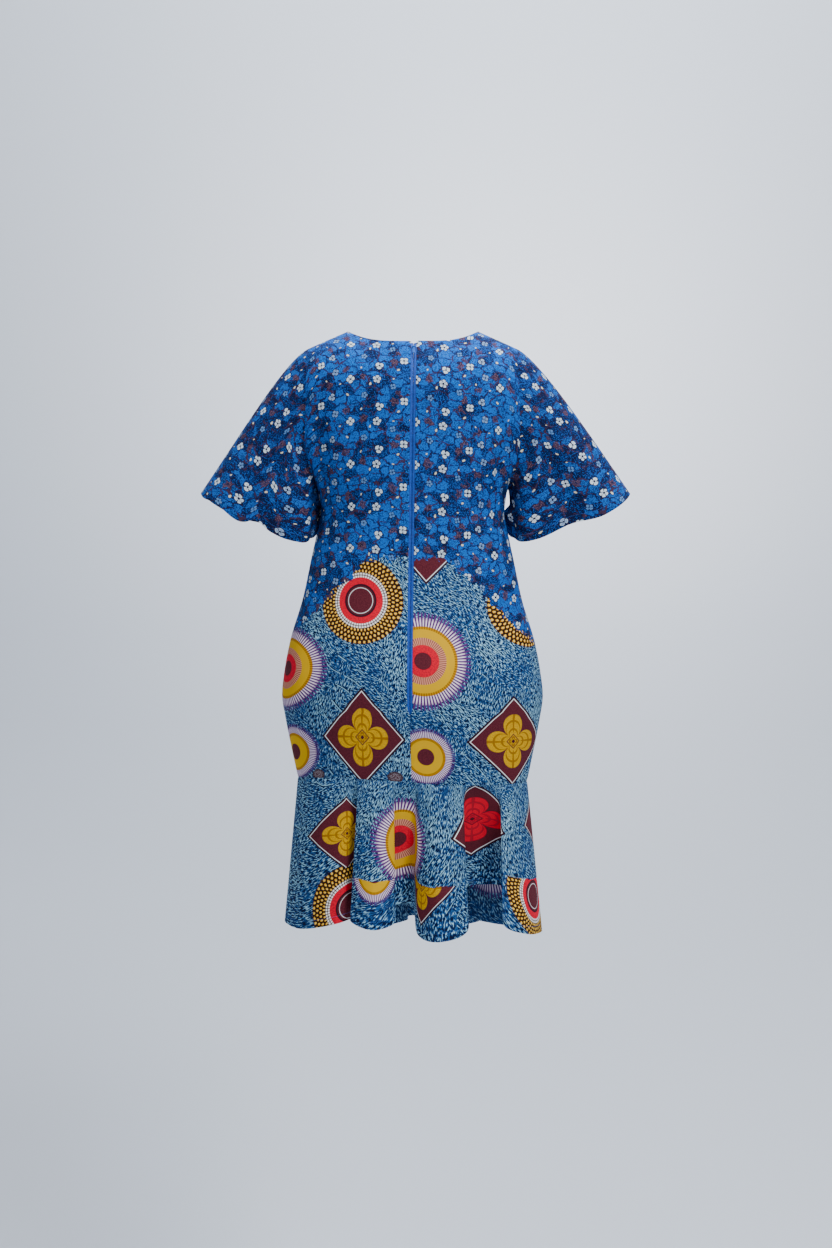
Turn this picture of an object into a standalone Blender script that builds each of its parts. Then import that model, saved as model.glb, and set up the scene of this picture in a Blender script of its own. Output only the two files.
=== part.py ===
"""Ankara wax print dress, worn form with nobody in it: knee length, short flared sleeves,
centre-back zip, cocoon hip and a flared flounce below a seam at the knee.

Metres, +Z up. The origin is midway between the two shoulders, level with the neck points.
The back of the dress, with the zip, faces -Y. Tables are in millimetres.
"""

import math
from collections import namedtuple

import bpy
import bmesh
import numpy as np
from mathutils import Matrix

MM = 0.001
WALL = 1.5
SEAM_GAP = 0.3
SLOPE_STEP = 1e-3
NEAR_CENTRE_SHARE = 0.02

# Grid of each piece: how many facets it has across and down
HALF_PANEL_COLUMNS = 12
YOKE_ROWS = 5
ARMHOLE_ROWS = 5
SKIRT_ROWS = 10
SLEEVE_ROWS = (0.0, 0.05, 0.12, 0.22, 0.36, 0.52, 0.68, 0.84, 1.0)
FLOUNCE_COLUMNS = 70
FLOUNCE_ROWS = (0.0, 0.08, 0.2, 0.38, 0.58, 0.79, 1.0)

# Levels are millimetres below the neck points
CHEST_LEVEL = 120.0
UNDERARM_LEVEL = 264.0
KNEE_SEAM_LEVEL = 737.0
KNEE_SEAM_WAVE = 6.0
KNEE_SEAM_WAVE_LENGTH = 480.0
DOWN_CHEST = YOKE_ROWS / (YOKE_ROWS + ARMHOLE_ROWS + SKIRT_ROWS)
DOWN_UNDERARM = (YOKE_ROWS + ARMHOLE_ROWS) / (YOKE_ROWS + ARMHOLE_ROWS + SKIRT_ROWS)

Section = namedtuple("Section", "level half_width back_depth front_depth")
BODY_SECTIONS = (
    Section(90, 174, 107, 112),
    Section(120, 174, 109, 117),
    Section(208, 173, 110, 127),
    Section(264, 156, 110, 126),
    Section(295, 152, 110, 124),
    Section(343, 160, 111, 121),
    Section(376, 167, 113, 120),
    Section(442, 181, 121, 123),
    Section(508, 201, 134, 129),
    Section(560, 211, 142, 133),
    Section(600, 215, 143, 133),
    Section(640, 209, 138, 130),
    Section(690, 199, 127, 124),
    Section(737, 189, 118, 119),
)

# Neckline and shoulder
NECK_HALF_WIDTH = 108.0
SHOULDER_X = 171.0
SHOULDER_DROP = 28.0
NECK_SHARE = 0.5
Neck = namedtuple("Neck", "depth drop power lean")
NECKLINE = {
    "back": Neck(depth=72, drop=22, power=3.5, lean=50),
    "front": Neck(depth=92, drop=78, power=2.3, lean=42),
}
ARMHOLE_DEPTH = {"back": 60.0, "front": 52.0}
ARMHOLE_TURN = 62.0
ARMHOLE_EASE_LEVEL = 390.0
ARMHOLE_EDGE_POWER = 8
SKIRT_FULLNESS = 0.88
FULLNESS_EASE = 120.0

# The centre-back seam leans a little over its length, and opens for the zip
CentreBack = namedtuple("CentreBack", "level shift")
CENTRE_BACK = (
    CentreBack(0, 2.5),
    CentreBack(376, -2.0),
    CentreBack(616, -4.0),
    CentreBack(737, -1.5),
)
ZIP_TOP_LEVEL = 24.0
ZIP_END_LEVEL = 616.0
ZIP_OPENING_HALF = 4.6
ZIP_TAPER = 14.0

# Soft upright troughs beside the armholes, where the cloth drags into the sleeve
Trough = namedtuple("Trough", "face x level half_width half_height depth")
TROUGHS = (
    Trough("back", 150, 195, 13, 80, 6.0),
    Trough("front", 146, 190, 14, 75, 5.0),
)

# Sleeve: cuff ring and its flutes; around is 0 at the top, 0.25 at the back, 0.5 under the arm
CUFF_OUTER = {"left": (349.0, -266.0), "right": (359.0, -267.0)}
CUFF_INNER = (161.0, -333.0)
CUFF_HALF_DEPTH = 64.0
CUFF_BOW = {"back": 25.0, "front": 17.0}
CUFF_BOW_POWER = 1.3
CUFF_BOW_LEAN = 0.5
CAP_LENGTH = {"top": 42.0, "side": 16.0, "under": 12.0}
CUFF_RUN = {"top": 120.0, "side": 75.0, "under": 70.0}
CUFF_TOP_DIRECTION = (0.563, -0.826)
BODY_SIDE_LOBE = {"left": 18.0, "right": 7.0}
BODY_SIDE_LOBE_AROUND = 0.385
BODY_SIDE_LOBE_HALF_WIDTH = 0.03
Flute = namedtuple("Flute", "around half_width height lift")
FLUTES = (
    Flute(0.13, 0.060, 6.0, 0.0),
    Flute(0.26, 0.045, -10.0, 8.0),
    Flute(0.36, 0.050, 8.0, 0.0),
    Flute(0.60, 0.050, 8.0, 0.0),
    Flute(0.71, 0.050, -10.0, 6.0),
    Flute(0.86, 0.060, 7.0, 0.0),
)

# Flounce: plain hem oval, then each fold: where it starts on the knee seam, in degrees round from
# the centre back, and where the folded hem passes, with its height
HEM_HALF_WIDTH = 212.0
HEM_DEPTH = {"back": 118.0, "front": 124.0}
FOLD_OPENING = 0.65
HemPoint = namedtuple("HemPoint", "place turn x y z")
HEM_BACK = (
    HemPoint("left side", -90, -211, 0, -972),
    HemPoint("left panel", -58, -181, -72, -977),
    HemPoint("left panel lip", -38, -120, -111, -964),
    HemPoint("pocket behind tube one, near", -32, -78, -84, -950),
    HemPoint("pocket behind tube one, far", -29.5, -74, -98, -950),
    HemPoint("tube one, left", -26.5, -100, -122, -958),
    HemPoint("tube one, front", -18, -64, -157, -970),
    HemPoint("tube one, right", -10, -27, -130, -960),
    HemPoint("valley one, left", -6.5, -40, -98, -942),
    HemPoint("valley one, right", 0.5, -2, -84, -936),
    HemPoint("tube two, left", 5.5, 9, -126, -981),
    HemPoint("tube two, front", 14.5, 46, -163, -988),
    HemPoint("tube two, right", 24.5, 90, -122, -972),
    HemPoint("valley two, left", 29, 80, -66, -916),
    HemPoint("valley two, floor", 37, 116, -40, -908),
    HemPoint("valley two, right", 46, 154, -72, -914),
    HemPoint("right panel lip", 52.5, 146, -113, -964),
    HemPoint("right panel", 64, 187, -84, -984),
)
HEM_FRONT = (
    HemPoint("right side", 90, 214, 0, -988),
    HemPoint("right panel", 120, 192, 74, -991),
    HemPoint("right panel lip", 139, 136, 112, -988),
    HemPoint("first pocket", 146, 98, 86, -978),
    HemPoint("first tube, right", 150, 112, 124, -986),
    HemPoint("first tube, front", 158, 76, 158, -996),
    HemPoint("first tube, left", 166, 40, 128, -986),
    HemPoint("middle valley, right", 171, 44, 90, -974),
    HemPoint("middle valley, left", 180, -4, 84, -972),
    HemPoint("second tube, right", 185.5, -10, 122, -984),
    HemPoint("second tube, front", 194, -48, 160, -996),
    HemPoint("second tube, left", 203, -86, 124, -986),
    HemPoint("second pocket", 208, -76, 84, -974),
    HemPoint("left panel lip", 217, -128, 108, -984),
    HemPoint("left panel", 239, -186, 76, -982),
)

# Zip
TAPE_WALL = 0.8
TAPE_WIDTH = 11.0
SLIDER_LEVEL = 33.0
SLIDER_WIDTH = 7.0
SLIDER_LENGTH = 9.0
SLIDER_FOOT_SHARE = 0.6
SLIDER_PLATE = 1.6
SLIDER_LIFT = 0.45
EAR_INSIDE = 1.9
EAR_WALL = 0.8
EAR_LENGTH = 3.0
PIN_RADIUS = 0.55
PIN_HEIGHT = 2.0
PIN_COVER = 1.0
EYE_RADIUS = 0.85
KNUCKLE_RADIUS = 1.45
PULL_WALL = 1.0
PULL_LENGTH = 14.0
PULL_TIP_RADIUS = 2.6
PULL_NECK_HALF = 1.4
PULL_GAP = 0.35

FLORAL_BLUE = (0.03, 0.16, 0.55, 1.0)
DENIM_BLUE = (0.05, 0.16, 0.34, 1.0)
ZIP_BLUE = (0.02, 0.17, 0.60, 1.0)
PULL_BLUE = (0.10, 0.34, 0.72, 1.0)


# Curves through tables


def through(places, values, x):
    """Smooth curve through a table's rows, read at x."""
    places = np.asarray(places, float)
    values = np.asarray(values, float)
    slopes = np.gradient(values, places)
    x = np.clip(x, places[0], places[-1])
    row = np.clip(np.searchsorted(places, x) - 1, 0, len(places) - 2)
    span = places[row + 1] - places[row]
    t = (x - places[row]) / span
    start = values[row] * (1 + 2 * t) * (1 - t) ** 2 + slopes[row] * span * t * (1 - t) ** 2
    end = values[row + 1] * t * t * (3 - 2 * t) + slopes[row + 1] * span * t * t * (t - 1)
    return float(start + end)


def column(table, name):
    return [getattr(row, name) for row in table]


def body_size(name, level):
    return through(column(BODY_SECTIONS, "level"), column(BODY_SECTIONS, name), level)


def centre_shift(level):
    return through(column(CENTRE_BACK, "level"), column(CENTRE_BACK, "shift"), level)


def smooth_step(x):
    x = min(max(x, 0.0), 1.0)
    return x * x * (3 - 2 * x)


def hump(x, half_width):
    """1 at the middle, 0 at a half width away and beyond, soft at both."""
    return 1 - smooth_step(abs(x) / half_width)


def unit(vector):
    return vector / np.linalg.norm(vector)


# The body: across is -1 and 1 at the side edges, down is 0 at the top and 1 at the knee seam


def knee_seam(x):
    return KNEE_SEAM_LEVEL + KNEE_SEAM_WAVE * math.sin(2 * math.pi * x / KNEE_SEAM_WAVE_LENGTH)


def armhole_share(share, level, edge):
    """How far this place still bends round the armhole: all of it along the edge, less inside."""
    easing = 1 - smooth_step((level - CHEST_LEVEL) / (ARMHOLE_EASE_LEVEL - CHEST_LEVEL))
    at_edge = share ** ARMHOLE_EDGE_POWER
    return edge * at_edge + easing * (1 - at_edge)


def plain_section(face, share, level, edge):
    """Distance from the centre line and from the side plane at one level of the body."""
    width = body_size("half_width", level)
    depth = body_size(face + "_depth", level)
    bend = armhole_share(share, level, edge)
    angle = math.radians(90 - (90 - ARMHOLE_TURN) * bend)
    armhole = ARMHOLE_DEPTH[face] * bend
    fullness = 1 - (1 - SKIRT_FULLNESS) * smooth_step((level - UNDERARM_LEVEL) / FULLNESS_EASE)
    x = width * math.sin(share * angle) / math.sin(angle)
    bow = (math.cos(share * angle) - math.cos(angle)) / (1 - math.cos(angle))
    return x, armhole + (depth - armhole) * max(bow, 0.0) ** fullness


def top_edge(face, share):
    """Neckline from the centre to the neck point, then the shoulder seam."""
    neck = NECKLINE[face]
    if share <= NECK_SHARE:
        angle = 0.5 * math.pi * share / NECK_SHARE
        x = NECK_HALF_WIDTH * math.sin(angle)
        drop = neck.drop * (1 - (x / NECK_HALF_WIDTH) ** neck.power)
        return x, neck.depth * math.cos(angle), drop
    along = (share - NECK_SHARE) / (1 - NECK_SHARE)
    return NECK_HALF_WIDTH + (SHOULDER_X - NECK_HALF_WIDTH) * along, 0.0, SHOULDER_DROP * along


def body_distance(face, share, down):
    """Distance from the centre line, from the side plane, and level, for one half of the body."""
    if down < DOWN_CHEST:
        x_top, y_top, level_top = top_edge(face, share)
        x_low, y_low = plain_section(face, share, CHEST_LEVEL, 1.0)
        lean = NECKLINE[face].lean * max(0.0, 1 - (share / NECK_SHARE) ** 2)
        start = math.radians(lean)
        angle = start + (0.5 * math.pi - start) * down / DOWN_CHEST
        out = (math.sin(angle) - math.sin(start)) / (1 - math.sin(start))
        fall = (math.cos(start) - math.cos(angle)) / math.cos(start)
        level = level_top + (CHEST_LEVEL - level_top) * fall
        return x_top + (x_low - x_top) * out, y_top + (y_low - y_top) * out, level
    if down < DOWN_UNDERARM:
        angle = 0.5 * math.pi * (down - DOWN_CHEST) / (DOWN_UNDERARM - DOWN_CHEST)
        level = CHEST_LEVEL + (UNDERARM_LEVEL - CHEST_LEVEL) * math.sin(angle)
        x, y = plain_section(face, share, level, math.cos(angle))
        return x, y, level
    along = (down - DOWN_UNDERARM) / (1 - DOWN_UNDERARM)
    level = UNDERARM_LEVEL + (KNEE_SEAM_LEVEL - UNDERARM_LEVEL) * along
    x, y = plain_section(face, share, level, 0.0)
    return x, y, level


def body_surface(face, across, down):
    """Point of the outer surface before its troughs, in millimetres."""
    x, y, level = body_distance(face, abs(across), down)
    x = math.copysign(x, across)
    if down > DOWN_UNDERARM:
        along = (down - DOWN_UNDERARM) / (1 - DOWN_UNDERARM)
        level += (knee_seam(x) - KNEE_SEAM_LEVEL) * along
    if face == "back":
        x += centre_shift(level) * (1 - abs(across)) ** 2
    return np.array([x, -y if face == "back" else y, -level])


def body_normal(face, across, down):
    """Outward direction; it has no part along a seam's own plane, so that neighbours end flush."""
    a_low = max(across - SLOPE_STEP, -1.0)
    a_high = min(across + SLOPE_STEP, 1.0)
    d_low = max(down - SLOPE_STEP, 0.0)
    d_high = min(down + SLOPE_STEP, 1.0)
    if down == DOWN_UNDERARM:
        d_low = down
    over = body_surface(face, a_high, down) - body_surface(face, a_low, down)
    under = body_surface(face, across, d_high) - body_surface(face, across, d_low)
    normal = np.cross(over, under) if face == "front" else np.cross(under, over)
    on_side_seam = abs(across) == 1 and down >= DOWN_UNDERARM
    on_shoulder_seam = down == 0 and abs(across) >= NECK_SHARE
    if on_side_seam or on_shoulder_seam:
        normal[1] = 0.0
    if down == 1:
        normal[2] = 0.0
    if across == 0:
        normal[0] = 0.0
    return unit(normal)


def trough_depth(face, point):
    depth = 0.0
    for trough in TROUGHS:
        if trough.face == face:
            beside = hump(abs(point[0]) - trough.x, 2 * trough.half_width)
            along = hump(-point[2] - trough.level, trough.half_height)
            depth += trough.depth * beside * along
    return depth


def body_point(face, across, down, inward=0.0):
    point = body_surface(face, across, down)
    normal = body_normal(face, across, down)
    point = point - normal * (trough_depth(face, point) + inward)
    on_side_seam = abs(across) == 1 and down >= DOWN_UNDERARM
    on_shoulder_seam = down == 0 and abs(across) >= NECK_SHARE
    if on_side_seam or on_shoulder_seam:
        point[1] += -SEAM_GAP / 2 if face == "back" else SEAM_GAP / 2
    if down == 1:
        point[2] += SEAM_GAP / 2
    return point


def share_at(distance, down):
    """Share across the back whose point lies this far from the centre line, near the centre."""
    reach = body_distance("back", NEAR_CENTRE_SHARE, down)[0]
    return NEAR_CENTRE_SHARE * distance / reach


def zip_half_opening(level):
    closing = smooth_step((level - ZIP_END_LEVEL) / ZIP_TAPER)
    return ZIP_OPENING_HALF + (SEAM_GAP / 2 - ZIP_OPENING_HALF) * closing


# Meshes


def sheet(outer, inner, closed_across=False):
    """Closed wall between two grids of points; rows run down, columns across."""
    rows = len(outer)
    columns = len(outer[0])
    mesh = bmesh.new()
    faces_out = [[mesh.verts.new(p) for p in row] for row in outer]
    faces_in = [[mesh.verts.new(p) for p in row] for row in inner]
    steps = columns if closed_across else columns - 1
    for r in range(rows - 1):
        for c in range(steps):
            n = (c + 1) % columns
            mesh.faces.new((faces_out[r][c], faces_out[r + 1][c], faces_out[r + 1][n], faces_out[r][n]))
            mesh.faces.new((faces_in[r][c], faces_in[r][n], faces_in[r + 1][n], faces_in[r + 1][c]))
    for c in range(steps):
        n = (c + 1) % columns
        mesh.faces.new((faces_out[0][c], faces_out[0][n], faces_in[0][n], faces_in[0][c]))
        mesh.faces.new((faces_out[-1][n], faces_out[-1][c], faces_in[-1][c], faces_in[-1][n]))
    if not closed_across:
        for r in range(rows - 1):
            mesh.faces.new((faces_out[r + 1][0], faces_out[r][0], faces_in[r][0], faces_in[r + 1][0]))
            mesh.faces.new((faces_out[r][-1], faces_out[r + 1][-1], faces_in[r + 1][-1], faces_in[r][-1]))
    bmesh.ops.triangulate(mesh, faces=mesh.faces)
    bmesh.ops.recalc_face_normals(mesh, faces=mesh.faces)
    return mesh


def material(name, colour, roughness, metallic=0.0):
    made = bpy.data.materials.new(name)
    made.use_nodes = True
    shader = made.node_tree.nodes["Principled BSDF"]
    shader.inputs["Base Color"].default_value = colour
    shader.inputs["Roughness"].default_value = roughness
    shader.inputs["Metallic"].default_value = metallic
    return made


def place(name, mesh, finish):
    """Object of this mesh, turned from millimetres into metres."""
    for vert in mesh.verts:
        vert.co *= MM
    data = bpy.data.meshes.new(name)
    mesh.to_mesh(data)
    mesh.free()
    data.materials.append(finish)
    data.shade_smooth()
    data.set_sharp_from_angle(angle=math.radians(40))
    piece = bpy.data.objects.new(name, data)
    bpy.context.scene.collection.objects.link(piece)
    return piece


# Panels of the body


def down_steps():
    rows = YOKE_ROWS + ARMHOLE_ROWS + SKIRT_ROWS
    return [row / rows for row in range(rows + 1)]


def back_shares(down):
    """Shares across half the back, from the zip or seam edge to the side, one at the neck point."""
    level = body_distance("back", 0.0, down)[2]
    edge = share_at(zip_half_opening(level), down)
    middle = HALF_PANEL_COLUMNS // 2
    near = np.linspace(edge, NECK_SHARE, middle + 1)
    far = np.linspace(NECK_SHARE, 1.0, HALF_PANEL_COLUMNS - middle + 1)
    return list(near) + list(far[1:])


def panel(face, shares_by_row):
    steps = down_steps()
    outer = [[body_point(face, a, d) for a in shares] for d, shares in zip(steps, shares_by_row)]
    inner = [[body_point(face, a, d, WALL) for a in shares] for d, shares in zip(steps, shares_by_row)]
    return outer, inner


def build_panels(floral):
    for name, side in (("back_left", -1), ("back_right", 1)):
        shares = [[side * share for share in back_shares(d)] for d in down_steps()]
        place(name, sheet(*panel("back", shares)), floral)
    shares = list(np.linspace(-1, 1, 2 * HALF_PANEL_COLUMNS + 1))
    place("front", sheet(*panel("front", [shares] * len(down_steps()))), floral)


# Sleeves


def armhole_ring(side):
    """Outer points, inner points and leaving directions round one armhole, from the shoulder seam
    down the back edge and up the front edge, as the panels' own edge points."""
    rows = YOKE_ROWS + ARMHOLE_ROWS
    steps = down_steps()
    ring = []
    for row in range(2 * rows):
        face = "back" if row <= rows else "front"
        down = steps[row if row <= rows else 2 * rows - row]
        outer = body_point(face, side, down)
        inner = body_point(face, side, down, WALL)
        if row % rows == 0:
            outer[1] = 0.0
            inner[1] = 0.0
        ring.append((outer, inner))
    count = len(ring)
    result = []
    for row in range(count):
        outer, inner = ring[row]
        along = ring[(row + 1) % count][0] - ring[row - 1][0]
        leave = -unit(np.cross(along, outer - inner)) * side
        result.append((outer + leave * SEAM_GAP, inner + leave * SEAM_GAP, leave))
        after = ring[(row + 1) % count]
        middle_outer = (outer + after[0]) / 2
        middle_inner = (inner + after[1]) / 2
        leave = -unit(np.cross(after[0] - outer, middle_outer - middle_inner)) * side
        result.append((middle_outer + leave * SEAM_GAP, middle_inner + leave * SEAM_GAP, leave))
    return result


def between(sizes, around):
    """Size at the top, at the sides and under the arm, eased round the ring."""
    up = math.cos(2 * math.pi * around)
    if up > 0:
        return sizes["side"] + (sizes["top"] - sizes["side"]) * up * up
    return sizes["side"] + (sizes["under"] - sizes["side"]) * up * up


def flute_height(around, name):
    total = 0.0
    for flute in FLUTES:
        total += getattr(flute, name) * hump(around - flute.around, 2 * flute.half_width)
    return total


def cuff_point(around, side):
    angle = 2 * math.pi * around
    hand = "left" if side < 0 else "right"
    outer = np.array(CUFF_OUTER[hand])
    inner = np.array(CUFF_INNER)
    half = (outer - inner) / 2
    x, z = (outer + inner) / 2 + half * math.cos(angle)
    y = -CUFF_HALF_DEPTH * math.sin(angle)
    power = CUFF_BOW_POWER + CUFF_BOW_LEAN * math.cos(angle)
    bow = CUFF_BOW["back" if y < 0 else "front"] * abs(math.sin(angle)) ** power
    along = unit(half)
    lobe = hump(around - BODY_SIDE_LOBE_AROUND, 2 * BODY_SIDE_LOBE_HALF_WIDTH)
    height = flute_height(around, "height") + BODY_SIDE_LOBE[hand] * lobe
    x += along[0] * math.cos(angle) * height + along[1] * bow
    z += along[1] * math.cos(angle) * height - along[0] * bow
    z += flute_height(around, "lift")
    y -= math.sin(angle) * height
    return np.array([x * side, y, z])


def sleeve_point(around, along, side, start, leave):
    """Point on the curve that leaves the armhole square to its edge and ends at the cuff."""
    end = cuff_point(around, side)
    tilt = 0.5 + 0.5 * math.cos(2 * math.pi * around)
    run = np.array([CUFF_TOP_DIRECTION[0] * tilt * side, 0.0, CUFF_TOP_DIRECTION[1] * tilt - (1 - tilt)])
    first = start + leave * between(CAP_LENGTH, around)
    last = end - unit(run) * between(CUFF_RUN, around)
    t = along
    parts = ((1 - t) ** 3, 3 * t * (1 - t) ** 2, 3 * t * t * (1 - t), t ** 3)
    return parts[0] * start + parts[1] * first + parts[2] * last + parts[3] * end


def sleeve_grids(side):
    ring = armhole_ring(side)
    count = len(ring)
    outer = []
    for along in SLEEVE_ROWS:
        row = [sleeve_point(k / count, along, side, ring[k][0], ring[k][2]) for k in range(count)]
        outer.append(row)
    inner = [[entry[1] for entry in ring]]
    for r in range(1, len(outer)):
        above = outer[r - 1]
        below = outer[min(r + 1, len(outer) - 1)]
        row = []
        for k in range(count):
            round_it = outer[r][(k + 1) % count] - outer[r][k - 1]
            normal = unit(np.cross(round_it, below[k] - above[k])) * side
            row.append(outer[r][k] - normal * WALL)
        inner.append(row)
    return outer, inner


def build_sleeves(floral):
    for name, side in (("sleeve_left", -1), ("sleeve_right", 1)):
        outer, inner = sleeve_grids(side)
        place(name, sheet(outer, inner, closed_across=True), floral)


# Flounce


def hem_ring():
    """Hem points all round with their turns, and each one's share of its half's length."""
    rows = HEM_BACK + HEM_FRONT
    points = [np.array([row.turn, row.x, row.y, row.z], float) for row in rows]
    lengths = []
    for k, point in enumerate(points):
        lengths.append(np.linalg.norm(points[(k + 1) % len(points)][1:3] - point[1:3]))
    back = len(HEM_BACK)
    places = []
    for start, stop, base in ((0, back, 0.0), (back, len(points), 1.0)):
        total = sum(lengths[start:stop])
        run = 0.0
        for k in range(start, stop):
            places.append(base + run / total)
            run += lengths[k]
    return np.array(places), points


def hem_point(around):
    """Turn, and point of the hem; around is 0 to 1 over the back and 1 to 2 over the front."""
    places, points = HEM_RING
    count = len(points)
    full_turn = np.array([360.0, 0.0, 0.0, 0.0])
    row = min(int(np.searchsorted(places, around, side="right")) - 1, count - 1)

    def stop(k):
        return places[k % count] + 2.0 * (k // count)

    def point(k):
        return points[k % count] + full_turn * (k // count)

    def slope(k):
        return (point(k + 1) - point(k - 1)) / (stop(k + 1) - stop(k - 1))

    span = stop(row + 1) - stop(row)
    t = (around - stop(row)) / span
    start = point(row) * (1 + 2 * t) * (1 - t) ** 2 + slope(row) * span * t * (1 - t) ** 2
    end = point(row + 1) * t * t * (3 - 2 * t) + slope(row + 1) * span * t * t * (t - 1)
    return start + end


def flounce_point(around, along):
    face = "back" if around <= 1 else "front"
    turn, hem_x, hem_y, hem_z = hem_point(around)
    share = turn / 90 if face == "back" else (180 - turn) / 90
    share = min(max(share, -1.0), 1.0)
    top = body_surface(face, share, 1.0)
    angle = math.radians(90 * share)
    depth = HEM_DEPTH[face] * max(math.cos(angle), 0.0) ** SKIRT_FULLNESS
    plain_x = HEM_HALF_WIDTH * math.sin(angle)
    plain_y = -depth if face == "back" else depth
    opened = along ** FOLD_OPENING
    x = top[0] + (plain_x - top[0]) * along + (hem_x - plain_x) * opened
    y = top[1] + (plain_y - top[1]) * along + (hem_y - plain_y) * opened
    z = top[2] + (hem_z - top[2]) * along
    return np.array([x, y, z])


def flounce_grids(start, stop):
    columns = np.linspace(start, stop, FLOUNCE_COLUMNS + 1)
    face_side = -SEAM_GAP / 2 if stop <= 1 else SEAM_GAP / 2
    outer = []
    inner = []
    for along in FLOUNCE_ROWS:
        outer_row = []
        inner_row = []
        for around in columns:
            a_low = max(around - SLOPE_STEP, start)
            a_high = min(around + SLOPE_STEP, stop)
            d_low = max(along - SLOPE_STEP, 0.0)
            d_high = min(along + SLOPE_STEP, 1.0)
            over = flounce_point(a_high, along) - flounce_point(a_low, along)
            under = flounce_point(around, d_high) - flounce_point(around, d_low)
            normal = np.cross(under, over)
            at_side = around in (columns[0], columns[-1])
            if at_side:
                normal[1] = 0.0
            if along == 0:
                normal[2] = 0.0
            normal = unit(normal)
            point = flounce_point(around, along)
            if at_side:
                point[1] = face_side
            if along == 0:
                point[2] -= SEAM_GAP / 2
            outer_row.append(point)
            inner_row.append(point - normal * WALL)
        outer.append(outer_row)
        inner.append(inner_row)
    return outer, inner


def build_flounces(denim):
    for name, start in (("flounce_back", 0.0), ("flounce_front", 1.0)):
        place(name, sheet(*flounce_grids(start, start + 1.0)), denim)


# Zip


def down_at(level):
    """Where this level lies down the centre back."""
    downs = np.linspace(0, 1, 401)
    levels = [body_distance("back", 0.0, d)[2] for d in downs]
    return float(np.interp(level, levels, downs))


def on_panel(distance, down, depth, side):
    """Point behind the back panel's own facets, this far from the centre line and below the face."""
    steps = down_steps()
    row = min(int(down * (len(steps) - 1)), len(steps) - 2)
    share = (down - steps[row]) * (len(steps) - 1)
    ends = [body_point("back", side * share_at(distance, d), d, depth) for d in steps[row : row + 2]]
    return ends[0] * (1 - share) + ends[1] * share


def tape_grids(side):
    """Tape behind the panel's edge, its rows at the panel's rows so that the two lie together."""
    first = down_at(ZIP_TOP_LEVEL)
    last = down_at(ZIP_END_LEVEL)
    downs = [first] + [d for d in down_steps() if first < d < last] + [last]
    grids = []
    for depth in (WALL + SEAM_GAP, WALL + SEAM_GAP + TAPE_WALL):
        grids.append([[on_panel(x, d, depth, side) for x in (SEAM_GAP / 2, TAPE_WIDTH)] for d in downs])
    return grids


def box(mesh, low, high):
    """Closed box between two corners."""
    made = bmesh.ops.create_cube(mesh, size=1.0)["verts"]
    for vert in made:
        for axis in range(3):
            middle = (low[axis] + high[axis]) / 2
            vert.co[axis] = middle + vert.co[axis] * (high[axis] - low[axis])


def outline_plate(mesh, outline, low, high):
    """Flat plate with this outline in X and Z, between two heights in Y."""
    rings = [[mesh.verts.new((x, y, z)) for x, z in outline] for y in (low, high)]
    count = len(outline)
    mesh.faces.new(rings[0])
    mesh.faces.new(list(reversed(rings[1])))
    for k in range(count):
        n = (k + 1) % count
        mesh.faces.new((rings[0][n], rings[0][k], rings[1][k], rings[1][n]))
    bmesh.ops.recalc_face_normals(mesh, faces=mesh.faces)


def arc(middle, radius, start, stop, steps):
    angles = [math.radians(start + (stop - start) * k / steps) for k in range(steps + 1)]
    return [(middle[0] + radius * math.cos(a), middle[1] + radius * math.sin(a)) for a in angles]


def seat_on_tapes(name, height):
    """Empty on the tapes at the slider, turned to the slope of the back, this far out from them."""
    point = on_panel(0.0, down_at(SLIDER_LEVEL), WALL + SEAM_GAP, 1)
    below = on_panel(0.0, down_at(SLIDER_LEVEL + SLIDER_LENGTH), WALL + SEAM_GAP, 1)
    slope = math.atan2(below[1] - point[1], point[2] - below[2])
    seat = bpy.data.objects.new(name, None)
    bpy.context.scene.collection.objects.link(seat)
    out = np.array([0.0, -math.cos(slope), -math.sin(slope)])
    seat.location = list((point + out * height) * MM)
    seat.rotation_euler = (slope, 0.0, 0.0)
    return seat


def join(base, addition):
    """Makes another closed shape one with the base."""
    addition.parent = base.parent
    addition.hide_render = True
    addition.display_type = "WIRE"
    joined = base.modifiers.new("join_" + addition.name, "BOOLEAN")
    joined.operation = "UNION"
    joined.solver = "EXACT"
    joined.object = addition


def build_slider(metal):
    """Shield-shaped plate on the tapes, with two ears and the pin that the pull hangs on."""
    half = SLIDER_WIDTH / 2
    foot = half * SLIDER_FOOT_SHARE
    foot_z = half - SLIDER_LENGTH
    outline = arc((0.0, 0.0), half, 0, 180, 10)
    outline += [(-foot, foot_z), (foot, foot_z)]
    out_face = -SLIDER_PLATE
    plate = bmesh.new()
    outline_plate(plate, outline, out_face, 0.0)
    slider = place("zip_slider", plate, metal)
    slider.parent = seat_on_tapes("slider_seat", SLIDER_LIFT)
    for name, side in (("ear_left", -1), ("ear_right", 1)):
        near = side * EAR_INSIDE
        far = side * (EAR_INSIDE + EAR_WALL)
        low = (min(near, far), out_face - PIN_HEIGHT - PIN_COVER, -EAR_LENGTH / 2)
        high = (max(near, far), out_face + SLIDER_PLATE / 2, EAR_LENGTH / 2)
        ear = bmesh.new()
        box(ear, low, high)
        join(slider, place(name, ear, metal))
    reach = 2 * EAR_INSIDE + EAR_WALL
    pin = bmesh.new()
    bmesh.ops.create_cone(
        pin, cap_ends=True, segments=12, radius1=PIN_RADIUS, radius2=PIN_RADIUS, depth=reach
    )
    bmesh.ops.rotate(pin, verts=pin.verts, matrix=Matrix.Rotation(math.pi / 2, 3, "Y"))
    bmesh.ops.translate(pin, verts=pin.verts, vec=(0.0, out_face - PIN_HEIGHT, 0.0))
    join(slider, place("pin", pin, metal))


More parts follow.
